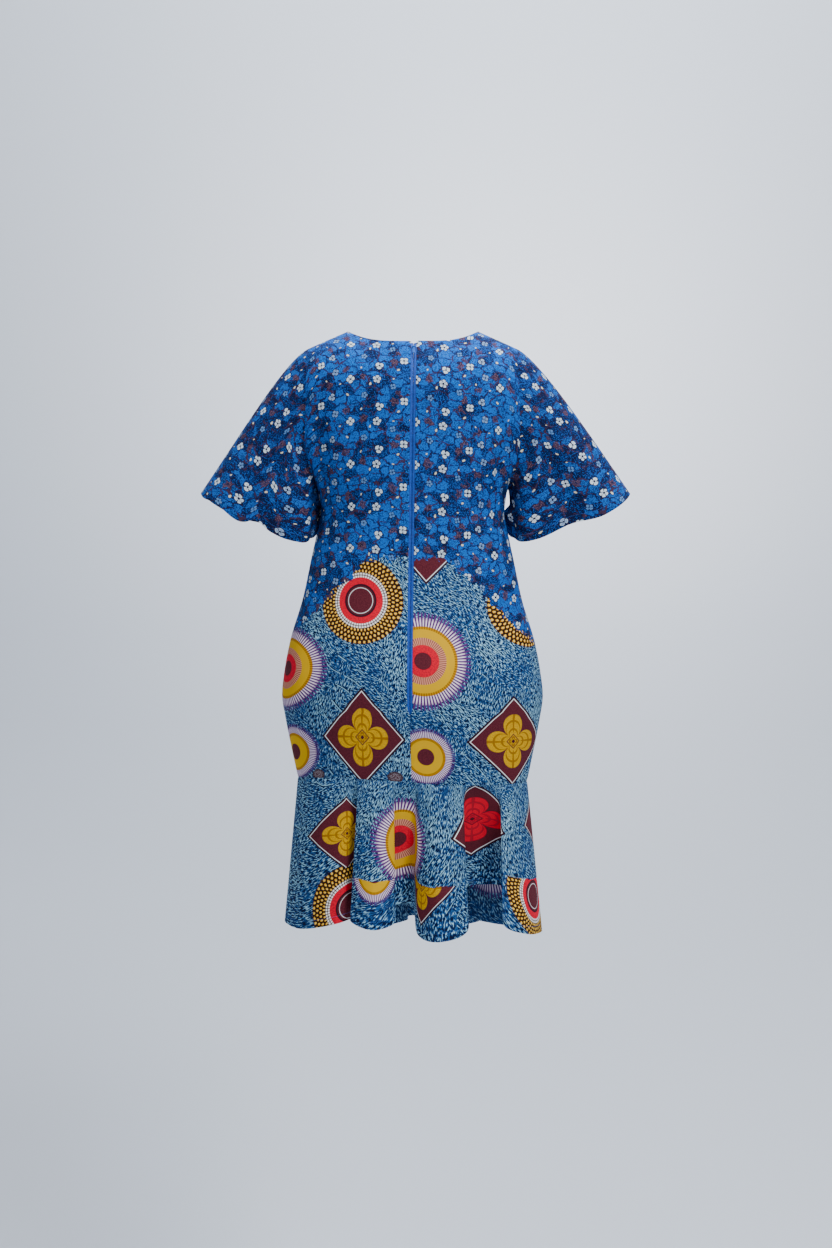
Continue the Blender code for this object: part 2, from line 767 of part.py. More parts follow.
def tube_ring(radius_in, radius_out, half_length, steps):
    """Closed tube along X, open through its middle."""
    mesh = bmesh.new()
    rings = []
    for x, radius in (
        (-half_length, radius_out), (half_length, radius_out), (half_length, radius_in), (-half_length, radius_in)
    ):
        angles = [2 * math.pi * k / steps for k in range(steps)]
        rings.append([mesh.verts.new((x, radius * math.cos(a), radius * math.sin(a))) for a in angles])
    for ring, following in zip(rings, rings[1:] + rings[:1]):
        for k in range(steps):
            n = (k + 1) % steps
            mesh.faces.new((ring[k], ring[n], following[n], following[k]))
    bmesh.ops.recalc_face_normals(mesh, faces=mesh.faces)
    return mesh


def build_pull(metal):
    """Tear-shaped pull, flat to the cloth, its knuckle round the slider's pin at the joint's axis."""
    tip = (0.0, PULL_TIP_RADIUS - PULL_LENGTH)
    root = -(EYE_RADIUS + KNUCKLE_RADIUS) / 2
    outline = [(-PULL_NECK_HALF, root)]
    outline += arc(tip, PULL_TIP_RADIUS, 165, 375, 16)
    outline += [(PULL_NECK_HALF, root)]
    plate = bmesh.new()
    outline_plate(plate, outline, -PULL_WALL / 2, PULL_WALL / 2)
    pull = place("zip_pull", plate, metal)
    pull.parent = seat_on_tapes("pull_pivot", SLIDER_LIFT + SLIDER_PLATE + PIN_HEIGHT)
    knuckle = tube_ring(EYE_RADIUS, KNUCKLE_RADIUS, EAR_INSIDE - PULL_GAP, 16)
    join(pull, place("knuckle", knuckle, metal))


def build_zip(metal, tape_cloth):
    for name, side in (("zip_tape_left", -1), ("zip_tape_right", 1)):
        place(name, sheet(*tape_grids(side)), tape_cloth)
    build_slider(metal)
    build_pull(metal)


for existing in list(bpy.data.objects):
    bpy.data.objects.remove(existing, do_unlink=True)

HEM_RING = hem_ring()

floral_cotton = material("floral_wax_print", FLORAL_BLUE, 0.75)
denim_cotton = material("denim_look_wax_print", DENIM_BLUE, 0.75)
build_panels(floral_cotton)
build_sleeves(floral_cotton)
build_flounces(denim_cotton)
build_zip(material("painted_metal", PULL_BLUE, 0.35, 0.4), material("zip_tape", ZIP_BLUE, 0.7))
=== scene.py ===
import math
from collections import namedtuple

import bpy
import numpy as np
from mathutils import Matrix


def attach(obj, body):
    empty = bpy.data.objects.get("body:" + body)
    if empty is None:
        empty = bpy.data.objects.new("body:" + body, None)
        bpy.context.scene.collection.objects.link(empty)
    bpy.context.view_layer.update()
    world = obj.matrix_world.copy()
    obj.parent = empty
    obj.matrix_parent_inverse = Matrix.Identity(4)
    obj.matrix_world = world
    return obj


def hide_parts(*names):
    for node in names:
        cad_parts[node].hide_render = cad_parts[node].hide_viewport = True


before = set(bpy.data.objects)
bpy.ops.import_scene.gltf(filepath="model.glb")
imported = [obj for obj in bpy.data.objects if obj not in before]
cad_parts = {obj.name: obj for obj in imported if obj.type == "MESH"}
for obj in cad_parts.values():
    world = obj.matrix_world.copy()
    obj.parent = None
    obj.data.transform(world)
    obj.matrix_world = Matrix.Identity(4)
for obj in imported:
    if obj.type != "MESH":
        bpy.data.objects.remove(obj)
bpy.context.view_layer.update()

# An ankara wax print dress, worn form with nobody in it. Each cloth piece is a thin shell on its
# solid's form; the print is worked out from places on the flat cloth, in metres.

MM = 0.001


def add_object(name, data):
    made = bpy.data.objects.new(name, data)
    bpy.context.scene.collection.objects.link(made)
    return made


# Back of the dress: two panels from the neck to the knee seam, sewn down the centre back below
# the zip. One border-printed cotton: ditsy flowers above, circles and diamonds on a denim-look
# ground below. The prints of the two halves don't match across the seam.

YOKE_ROWS = 5
ARMHOLE_ROWS = 5
SKIRT_ROWS = 10
CHEST_LEVEL = 120.0
UNDERARM_LEVEL = 264.0
KNEE_SEAM_LEVEL = 737.0
KNEE_SEAM_WAVE = 6.0
KNEE_SEAM_WAVE_LENGTH = 480.0
ALL_ROWS = YOKE_ROWS + ARMHOLE_ROWS + SKIRT_ROWS
DOWN_CHEST = YOKE_ROWS / ALL_ROWS
DOWN_UNDERARM = (YOKE_ROWS + ARMHOLE_ROWS) / ALL_ROWS
SLOPE_STEP = 1e-3
NEAR_CENTRE = 0.02
ON_CENTRE = 1e-6

Section = namedtuple("Section", "level half_width back_depth front_depth")
BODY_SECTIONS = (
    Section(90, 174, 107, 112),
    Section(120, 174, 109, 117),
    Section(208, 173, 110, 127),
    Section(264, 156, 110, 126),
    Section(295, 152, 110, 124),
    Section(343, 160, 111, 121),
    Section(376, 167, 113, 120),
    Section(442, 181, 121, 123),
    Section(508, 201, 134, 129),
    Section(560, 211, 142, 133),
    Section(600, 215, 143, 133),
    Section(640, 209, 138, 130),
    Section(690, 199, 127, 124),
    Section(737, 189, 118, 119),
)
NECK_HALF_WIDTH = 108.0
SHOULDER_X = 171.0
SHOULDER_DROP = 28.0
NECK_SHARE = 0.5
Neck = namedtuple("Neck", "depth drop power lean")
NECKLINE = {
    "back": Neck(depth=72, drop=22, power=3.5, lean=50),
    "front": Neck(depth=92, drop=78, power=2.3, lean=42),
}
ARMHOLE_DEPTH = {"back": 60.0, "front": 52.0}
ARMHOLE_TURN = 62.0
ARMHOLE_EASE_LEVEL = 390.0
ARMHOLE_EDGE_POWER = 8
SKIRT_FULLNESS = 0.88
FULLNESS_EASE = 120.0
CentreBack = namedtuple("CentreBack", "level shift")
CENTRE_BACK = (
    CentreBack(0, 2.5),
    CentreBack(376, -2.0),
    CentreBack(616, -4.0),
    CentreBack(737, -1.5),
)
ZIP_TOP_LEVEL = 24.0
ZIP_END_LEVEL = 616.0
ZIP_OPENING_HALF = 4.6
ZIP_TAPER = 14.0
Trough = namedtuple("Trough", "face x level half_width half_height depth")
TROUGHS = (
    Trough("back", 150, 195, 13, 80, 6.0),
    Trough("front", 146, 190, 14, 75, 5.0),
)

CLOTH = 0.8
HALF_COLUMNS = 76
PANEL_ROWS = 170


def eased_between(values, slopes, row, span, t):
    """Curve from one table row to the next, leaving and arriving at their slopes."""
    start = values[row] * (1 + 2 * t) * (1 - t) ** 2 + slopes[row] * span * t * (1 - t) ** 2
    end = values[row + 1] * t * t * (3 - 2 * t) + slopes[row + 1] * span * t * t * (t - 1)
    return start + end


def through(places, values, x):
    """Smooth curve through a table's rows, read at each x."""
    places = np.asarray(places, float)
    values = np.asarray(values, float)
    x = np.clip(x, places[0], places[-1])
    row = np.clip(np.searchsorted(places, x) - 1, 0, len(places) - 2)
    span = places[row + 1] - places[row]
    return eased_between(values, np.gradient(values, places), row, span, (x - places[row]) / span)


def column(table, name):
    return [getattr(row, name) for row in table]


def body_size(name, level):
    return through(column(BODY_SECTIONS, "level"), column(BODY_SECTIONS, name), level)


def smooth_step(x):
    x = np.clip(x, 0.0, 1.0)
    return x * x * (3 - 2 * x)


def hump(x, half_width):
    """1 at the middle, 0 at a half width away and beyond, soft at both."""
    return 1 - smooth_step(np.abs(x) / half_width)


def unit(vectors):
    return vectors / np.linalg.norm(vectors, axis=-1, keepdims=True)


def plain_section(face, share, level, edge):
    """Distance from the centre line and from the side plane at these levels of the body."""
    width = body_size("half_width", level)
    depth = body_size(face + "_depth", level)
    easing = 1 - smooth_step((level - CHEST_LEVEL) / (ARMHOLE_EASE_LEVEL - CHEST_LEVEL))
    at_edge = share ** ARMHOLE_EDGE_POWER
    bend = edge * at_edge + easing * (1 - at_edge)
    angle = np.radians(90 - (90 - ARMHOLE_TURN) * bend)
    armhole = ARMHOLE_DEPTH[face] * bend
    fullness = 1 - (1 - SKIRT_FULLNESS) * smooth_step((level - UNDERARM_LEVEL) / FULLNESS_EASE)
    x = width * np.sin(share * angle) / np.sin(angle)
    bow = (np.cos(share * angle) - np.cos(angle)) / (1 - np.cos(angle))
    return x, armhole + (depth - armhole) * np.maximum(bow, 0.0) ** fullness


def top_edge(face, share):
    """Neckline from the centre to the neck point, then the shoulder seam."""
    neck = NECKLINE[face]
    angle = 0.5 * math.pi * np.minimum(share / NECK_SHARE, 1.0)
    x = NECK_HALF_WIDTH * np.sin(angle)
    drop = neck.drop * (1 - (x / NECK_HALF_WIDTH) ** neck.power)
    y = neck.depth * np.cos(angle)
    along = np.maximum((share - NECK_SHARE) / (1 - NECK_SHARE), 0.0)
    on_neck = share <= NECK_SHARE
    x = np.where(on_neck, x, NECK_HALF_WIDTH + (SHOULDER_X - NECK_HALF_WIDTH) * along)
    return x, np.where(on_neck, y, 0.0), np.where(on_neck, drop, SHOULDER_DROP * along)


def yoke(face, share, down):
    x_top, y_top, level_top = top_edge(face, share)
    x_low, y_low = plain_section(face, share, CHEST_LEVEL, 1.0)
    lean = NECKLINE[face].lean * np.maximum(0.0, 1 - (share / NECK_SHARE) ** 2)
    start = np.radians(lean)
    angle = start + (0.5 * math.pi - start) * np.minimum(down / DOWN_CHEST, 1.0)
    out = (np.sin(angle) - np.sin(start)) / (1 - np.sin(start))
    fall = (np.cos(start) - np.cos(angle)) / np.cos(start)
    level = level_top + (CHEST_LEVEL - level_top) * fall
    return x_top + (x_low - x_top) * out, y_top + (y_low - y_top) * out, level


def body_surface(face, across, down):
    """Points of the outer surface before its troughs, in millimetres; arrays of one shape."""
    share = np.abs(across)
    x_yoke, y_yoke, level_yoke = yoke(face, share, down)
    chest = np.clip((down - DOWN_CHEST) / (DOWN_UNDERARM - DOWN_CHEST), 0.0, 1.0)
    skirt = np.clip((down - DOWN_UNDERARM) / (1 - DOWN_UNDERARM), 0.0, 1.0)
    level = CHEST_LEVEL + (UNDERARM_LEVEL - CHEST_LEVEL) * np.sin(0.5 * math.pi * chest)
    level = np.where(down < DOWN_UNDERARM, level, UNDERARM_LEVEL + (KNEE_SEAM_LEVEL - UNDERARM_LEVEL) * skirt)
    edge = np.where(down < DOWN_UNDERARM, np.cos(0.5 * math.pi * chest), 0.0)
    x, y = plain_section(face, share, level, edge)
    in_yoke = down < DOWN_CHEST
    x = np.where(in_yoke, x_yoke, x) * np.sign(across)
    y = np.where(in_yoke, y_yoke, y)
    level = np.where(in_yoke, level_yoke, level)
    level = level + KNEE_SEAM_WAVE * np.sin(2 * math.pi * x / KNEE_SEAM_WAVE_LENGTH) * skirt
    if face == "back":
        x = x + through(column(CENTRE_BACK, "level"), column(CENTRE_BACK, "shift"), level) * (1 - share) ** 2
        y = -y
    return np.stack([x, y, -level], axis=-1)


def body_normal(face, across, down):
    """Outward directions; they have no part along a seam's own plane."""
    a_low = np.maximum(across - SLOPE_STEP, -1.0)
    a_high = np.minimum(across + SLOPE_STEP, 1.0)
    d_low = np.maximum(down - SLOPE_STEP, 0.0)
    d_high = np.minimum(down + SLOPE_STEP, 1.0)
    over = body_surface(face, a_high, down) - body_surface(face, a_low, down)
    under = body_surface(face, across, d_high) - body_surface(face, across, d_low)
    normal = np.cross(over, under) if face == "front" else np.cross(under, over)
    on_side_seam = (np.abs(across) == 1) & (down >= DOWN_UNDERARM)
    on_shoulder_seam = (down == 0) & (np.abs(across) >= NECK_SHARE)
    normal[..., 1] = np.where(on_side_seam | on_shoulder_seam, 0.0, normal[..., 1])
    normal[..., 2] = np.where(down == 1, 0.0, normal[..., 2])
    return unit(normal)


def body_point(face, across, down):
    point = body_surface(face, across, down)
    depth = np.zeros_like(across)
    for trough in TROUGHS:
        if trough.face == face:
            beside = hump(np.abs(point[..., 0]) - trough.x, 2 * trough.half_width)
            depth += trough.depth * beside * hump(-point[..., 2] - trough.level, trough.half_height)
    return point - body_normal(face, across, down) * depth[..., None]


def zip_half_opening(level):
    closing = smooth_step((level - ZIP_END_LEVEL) / ZIP_TAPER)
    return ZIP_OPENING_HALF * (1 - closing)


def share_beside_zip(down, centre=0.0):
    """Share across the back that one millimetre from its centre line is, and the centre's points."""
    near = NEAR_CENTRE * np.ones_like(down)
    middle = body_surface("back", 0 * near + centre, down)
    return near / (body_surface("back", near, down)[..., 0] - middle[..., 0]), middle


def zip_edge_share(down):
    """Share across the back where each row meets the zip, or the centre-back seam below it."""
    share, middle = share_beside_zip(down)
    return share * zip_half_opening(-middle[..., 2])


# A crease runs between two places on the flat cloth, in millimetres: u from the centre line or the
# first edge, v up from the bottom edge. A width over 0 is its half width; depth below 0 is a ridge.
Crease = namedtuple("Crease", "u v to_u to_v width depth")
CREASE_BOW = 0.06
CREASE_DEPTH_AT_ENDS = 0.55
CREASE_END_REACH = 1.6


def crease_depth(u, v, creases):
    total = np.zeros_like(u)
    for c in creases:
        run = np.array([c.to_u - c.u, c.to_v - c.v], float)
        length = np.hypot(*run)
        along = ((u - c.u) * run[0] + (v - c.v) * run[1]) / length ** 2
        beyond = np.maximum(np.maximum(-along, along - 1), 0) * length
        aside = ((u - c.u) * run[1] - (v - c.v) * run[0]) / length
        middle = np.sin(math.pi * np.clip(along, 0, 1))
        off_line = (aside - CREASE_BOW * length * middle) / c.width
        off_end = beyond / (CREASE_END_REACH * c.width)
        fading = CREASE_DEPTH_AT_ENDS + (1 - CREASE_DEPTH_AT_ENDS) * middle
        total += c.depth * fading * np.exp(-off_line ** 2 - off_end ** 2)
    return total


# A motif of the print stands at a place on the flat cloth; cut_top is how far up it is printed
Motif = namedtuple("Motif", "kind u v half_width half_height cut_top", defaults=(2.0,))
MOTIF_KINDS = ("sunburst", "beads", "gold diamond", "red diamond", "plain diamond", "button", "small sun")
MOTIF_REACH = 1.12
NO_MOTIF = -9.0
SHARP_ANGLE = 60


def motif_places(u, v, spread, motifs):
    """For the corners of each face: the place inside the motif that the face lies in, how far up
    that motif is printed, and its kind. Spread is how far the cloth is drawn out there."""
    local = np.tile([-NO_MOTIF, -NO_MOTIF, NO_MOTIF], u.shape + (1,))
    kind = np.zeros(u.shape)
    closest = np.full(len(u), MOTIF_REACH)
    for motif in motifs:
        x = (u - motif.u) * spread / motif.half_width
        y = (v - motif.v) / motif.half_height
        middle_x = np.abs(x.mean(1))
        middle_y = y.mean(1)
        reach = middle_x + np.abs(middle_y) if "diamond" in motif.kind else np.hypot(middle_x, middle_y)
        mine = (reach < closest) & (middle_y < motif.cut_top)
        top = np.full(u.shape, motif.cut_top)
        local[mine] = np.stack([x, y, top], axis=-1)[mine]
        kind[mine] = MOTIF_KINDS.index(motif.kind)
        closest[mine] = reach[mine]
    return local, kind


def arcs(points, axis):
    """Lengths along a grid's rows or columns, from its first line of points."""
    steps = np.linalg.norm(np.diff(points, axis=axis), axis=-1)
    start = np.zeros_like(np.take(steps, [0], axis=axis))
    return np.cumsum(np.concatenate([start, steps], axis=axis), axis=axis)


def grid_normals(points, like):
    """Directions square to a grid, on the side that like points to."""
    across = np.gradient(points, axis=1)
    down = np.gradient(points, axis=0)
    normal = np.cross(down, across)
    length = np.linalg.norm(normal, axis=-1, keepdims=True)
    normal = np.where(length > 1e-9, normal / np.maximum(length, 1e-9), like)
    same = np.sign(np.sum(normal * like, axis=-1, keepdims=True))
    return normal * np.where(same == 0, 1, same)


def shell(name, outer, inward, u, v, finish, flat=None, motifs=(), spread=None, border=0.0):
    """Thin cloth between a grid of outer points and the same grid moved inward, in millimetres.
    Flat is where the cloth lies in its print, if that isn't u and v."""
    rows, columns = u.shape
    count = rows * columns
    points = np.concatenate([outer.reshape(-1, 3), (outer + inward).reshape(-1, 3)]) * MM
    k = np.arange(count).reshape(rows, columns)
    a, b, c, d = (k[:-1, :-1], k[1:, :-1], k[1:, 1:], k[:-1, 1:])
    quads = [np.stack([a, b, c, d], -1).reshape(-1, 4), np.stack([a, d, c, b], -1).reshape(-1, 4) + count]
    for edge in (k[0, ::-1], k[:, 0], k[-1], k[::-1, -1]):
        quads.append(np.stack([edge[1:], edge[:-1], edge[:-1] + count, edge[1:] + count], -1))
    faces = np.concatenate(quads)
    corner = points[faces]
    facing = np.cross(corner[:, 1] - corner[:, 0], corner[:, 2] - corner[:, 1])
    first = slice(0, (rows - 1) * (columns - 1))
    if np.sum(facing[first] * -inward[:-1, :-1].reshape(-1, 3)) < 0:
        faces = faces[:, ::-1]
    data = bpy.data.meshes.new(name)
    data.from_pydata(points.tolist(), [], faces.tolist())

    def at_corners(values):
        return np.broadcast_to(values, (rows, columns)).ravel()[faces % count]

    print_u, print_v = flat or (u, v)
    layer = data.uv_layers.new(name="cloth")
    layer.data.foreach_set("uv", (np.stack([at_corners(print_u), at_corners(print_v)], -1) * MM).ravel())
    spread = 1.0 if spread is None else spread
    local, kind = motif_places(at_corners(u), at_corners(v), at_corners(spread), motifs)
    inside = (faces >= count).astype(float)
    facts = np.stack([kind, at_corners(border), inside], -1)
    for label, values in (("motif", local), ("facts", facts)):
        attribute = data.attributes.new(label, "FLOAT_VECTOR", "CORNER")
        attribute.data.foreach_set("vector", values.ravel())
    data.materials.append(finish)
    data.shade_smooth()
    piece = add_object(name, data)
    data.set_sharp_from_angle(angle=math.radians(SHARP_ANGLE))
    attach(piece, "dress")
    return piece


def cloth_area(points):
    """Area of a grid of points in square metres."""
    over = np.diff(points, axis=1)[:-1]
    under = np.diff(points, axis=0)[:, :-1]
    return float(np.linalg.norm(np.cross(over, under), axis=-1).sum()) * MM * MM


def tone(code):
    """Linear colour of a hex colour as seen on screen."""
    parts = [int(code[k : k + 2], 16) / 255 for k in (0, 2, 4)]
    return tuple(p / 12.92 if p <= 0.04045 else ((p + 0.055) / 1.055) ** 2.4 for p in parts) + (1.0,)


FLAT_NOISE = {"noise_dimensions": "2D"}


class Value:
    """A number socket of a material, used in Python expressions."""

    def __init__(self, sheet, socket):
        self.sheet = sheet
        self.socket = socket

    def math(self, operation, *others, clamp=False):
        return self.sheet.math(operation, self, *others, clamp=clamp)

    def __add__(self, other):
        return self.math("ADD", other)

    __radd__ = __add__

    def __sub__(self, other):
        return self.math("SUBTRACT", other)

    def __rsub__(self, other):
        return self.sheet.math("SUBTRACT", other, self)

    def __mul__(self, other):
        return self.math("MULTIPLY", other)

    __rmul__ = __mul__

    def __truediv__(self, other):
        return self.math("DIVIDE", other)

    def __pow__(self, other):
        return self.math("POWER", other)

    def above(self, limit, soft=0.0):
        """1 above the limit and 0 below, with a soft edge of this width."""
        if soft:
            return ((self - limit) / soft).math("ADD", 0.5, clamp=True)
        return self.math("GREATER_THAN", limit)

    def below(self, limit, soft=0.0):
        return 1 - self.above(limit, soft)


class Sheet:
    """The nodes of one cloth or metal material."""

    def __init__(self, name, roughness=0.75, **constants):
        self.material = bpy.data.materials.new(name)
        self.material.use_nodes = True
        self.tree = self.material.node_tree
        self.shader = self.tree.nodes["Principled BSDF"]
        self.shader.inputs["Roughness"].default_value = roughness
        for key, value in constants.items():
            self.shader.inputs[key.replace("_", " ").title().replace("Ior", "IOR")].default_value = value

    def node(self, kind, settings=None, outputs=(0,), **inputs):
        """A node of this type: its settings first, then its sockets' values or links."""
        made = self.tree.nodes.new(kind)
        for key, value in (settings or {}).items():
            setattr(made, key, value)
        for key, value in inputs.items():
            place = int(key[1:]) if key[1:].isdigit() else key.replace("_", " ").title()
            self.put(made.inputs[place], value)
        found = [made.outputs[place] for place in outputs]
        return found[0] if len(found) == 1 else found

    def put(self, socket, value):
        if isinstance(value, Value):
            value = value.socket
        if isinstance(value, bpy.types.NodeSocket):
            self.tree.links.new(value, socket)
        else:
            socket.default_value = value

    def math(self, operation, *values, clamp=False):
        sockets = {"i%d" % k: value for k, value in enumerate(values)}
        return Value(self, self.node(
            "ShaderNodeMath", {"operation": operation, "use_clamp": clamp}, **sockets
        ))

    def vector(self, operation, *values, output=0):
        sockets = {"i%d" % k: value for k, value in enumerate(values)}
        return self.node("ShaderNodeVectorMath", {"operation": operation}, outputs=(output,), **sockets)

    def scaled(self, vector, factor):
        return self.node("ShaderNodeVectorMath", {"operation": "SCALE"}, i0=vector, scale=factor)

    def mix(self, factor, first, second):
        """Colour between two colours."""
        return self.node(
            "ShaderNodeMix", {"data_type": "RGBA"}, outputs=(2,), i0=factor, i6=first, i7=second
        )

    def mix_vector(self, factor, first, second):
        return self.node(
            "ShaderNodeMix", {"data_type": "VECTOR"}, outputs=(1,), i0=factor, i4=first, i5=second
        )

    def attribute(self, name):
        return self.node("ShaderNodeAttribute", {"attribute_name": name}, outputs=(1,))

    def parts(self, vector):
        sockets = self.node("ShaderNodeSeparateXYZ", outputs=(0, 1, 2), i0=vector)
        return [Value(self, socket) for socket in sockets]

    def turned(self, place, angle):
        return self.node("ShaderNodeVectorRotate", {"rotation_type": "Z_AXIS"}, i0=place, i3=angle)

    def noise(self, place, scale, detail=2.0, stretch=(1.0, 1.0), turn=0.0):
        """Noise on the flat cloth; scale is per metre, and stretch multiplies it each way."""
        if turn:
            place = self.turned(place, math.radians(turn))
        if stretch != (1.0, 1.0):
            place = self.vector("MULTIPLY", place, (stretch[0], stretch[1], 1.0))
        return Value(self, self.node("ShaderNodeTexNoise", FLAT_NOISE, i0=place, i2=scale, i3=detail))

    def finish(self, colour, bump=None, distance=0.0):
        """The material in this colour, with bumps up to this distance in metres."""
        self.put(self.shader.inputs["Base Color"], colour)
        if bump is not None:
            normal = self.node("ShaderNodeBump", strength=1.0, distance=distance, height=bump)
            self.put(self.shader.inputs["Normal"], normal)
        return self.material


# The ditsy print repeats: each spot stands at a place in the repeat, in millimetres; faded is how
# much bluer and duller than white it is printed
FLORAL_REPEAT = (140.0, 69.0)
DASH_LENGTH = 1.7
Spot = namedtuple("Spot", "kind u v radius petals turn faded")
DITSY_SPOTS = (
    Spot("flower", 86, 56, 7.2, 3, 20, 0.0),
    Spot("flower", 82, 32, 7.4, 5, 10, 0.1),
    Spot("flower", 126, 66, 7.2, 4, 45, 0.0),
    Spot("flower", 38, 34, 7.4, 4, 5, 0.0),
    Spot("flower", 6, 8, 6.4, 3, 70, 0.5),
    Spot("flower", 12, 49, 6.2, 4, 30, 0.7),
    Spot("flower", 61, 6, 5.6, 5, 0, 0.85),
    Spot("flower", 108, 20, 5.4, 4, 60, 0.9),
    Spot("dash", 117, 49, 2.6, 0, 30, 0.0),
    Spot("dash", 71, 24, 2.6, 0, 75, 0.0),
    Spot("dash", 109, 33, 1.8, 0, 0, 0.0),
    Spot("dash", 33, 9, 2.6, 0, -30, 0.0),
    Spot("dash", 56, 53, 1.9, 0, 60, 0.0),
    Spot("dash", 20, 28, 1.8, 0, 15, 0.0),
    Spot("dash", 136, 36, 1.8, 0, -50, 0.0),
    Spot("cluster", 59, 37, 8.0, 6, 0, 0.0),
    Spot("cluster", 110, 64, 8.5, 5, 20, 0.0),
    Spot("cluster", 118, 9, 6.0, 7, 0, 0.0),
    Spot("cluster", 30, 52, 7.5, 6, 40, 0.0),
    Spot("cluster", 1, 27, 7.0, 5, 10, 0.0),
)


def nearest_spot(sheet, place, kind):
    """Place in the nearest spot in its own radii, how far from its middle, petals, turn and fading."""
    best = None
    half = (FLORAL_REPEAT[0] * MM / 2, FLORAL_REPEAT[1] * MM / 2, 1.0)
    for spot in DITSY_SPOTS:
        if spot.kind != kind:
            continue
        offset = sheet.vector("SUBTRACT", place, (spot.u * MM, spot.v * MM, 0.0))
        offset = sheet.vector("WRAP", offset, half, tuple(-h for h in half))
        turn = math.radians(spot.turn)
        offset = sheet.scaled(offset, 1 / (spot.radius * MM))
        if kind == "dash":
            offset = sheet.vector("MULTIPLY", sheet.turned(offset, -turn), (1.0, DASH_LENGTH, 1.0))
        reach = Value(sheet, sheet.vector("LENGTH", offset, output=1))
        facts = (spot.petals, turn, spot.faded)
        if best is None:
            best = (offset, reach, facts)
            continue
        closer = reach.math("LESS_THAN", best[1])
        facts = tuple(closer * (new - old) + old for new, old in zip(facts, best[2]))
        best = (sheet.mix_vector(closer, best[0], offset), reach.math("MINIMUM", best[1]), facts)
    return best


def angle_of(sheet, place):
    x, y, _ = sheet.parts(place)
    return y.math("ARCTAN2", x)


def wavy_place(sheet, place, size, scale):
    """The place moved about a little, for lines that a hand drew."""
    shift = sheet.node("ShaderNodeTexNoise", FLAT_NOISE, outputs=(1,), i0=place, i2=scale, i3=1.0)
    shift = sheet.vector("SUBTRACT", shift, (0.5, 0.5, 0.5))
    return sheet.vector("ADD", place, sheet.scaled(shift, size))


LEAF_STRETCH = 1.3
LEAVES_PER_METRE = 54.0
FLORAL = {
    "bright": tone("005cbe"),
    "leaf": tone("034ea4"),
    "blue": tone("123e7e"),
    "navy": tone("0c1032"),
    "pale": tone("2a82d0"),
    "brown": tone("40283a"),
    "plum": tone("1c122a"),
    "dull pink": tone("8c6a76"),
    "white": tone("d4e2ec"),
    "petal grey": tone("7a90b0"),
    "faded": tone("4a8ad2"),
    "cream": tone("dcd4b8"),
}


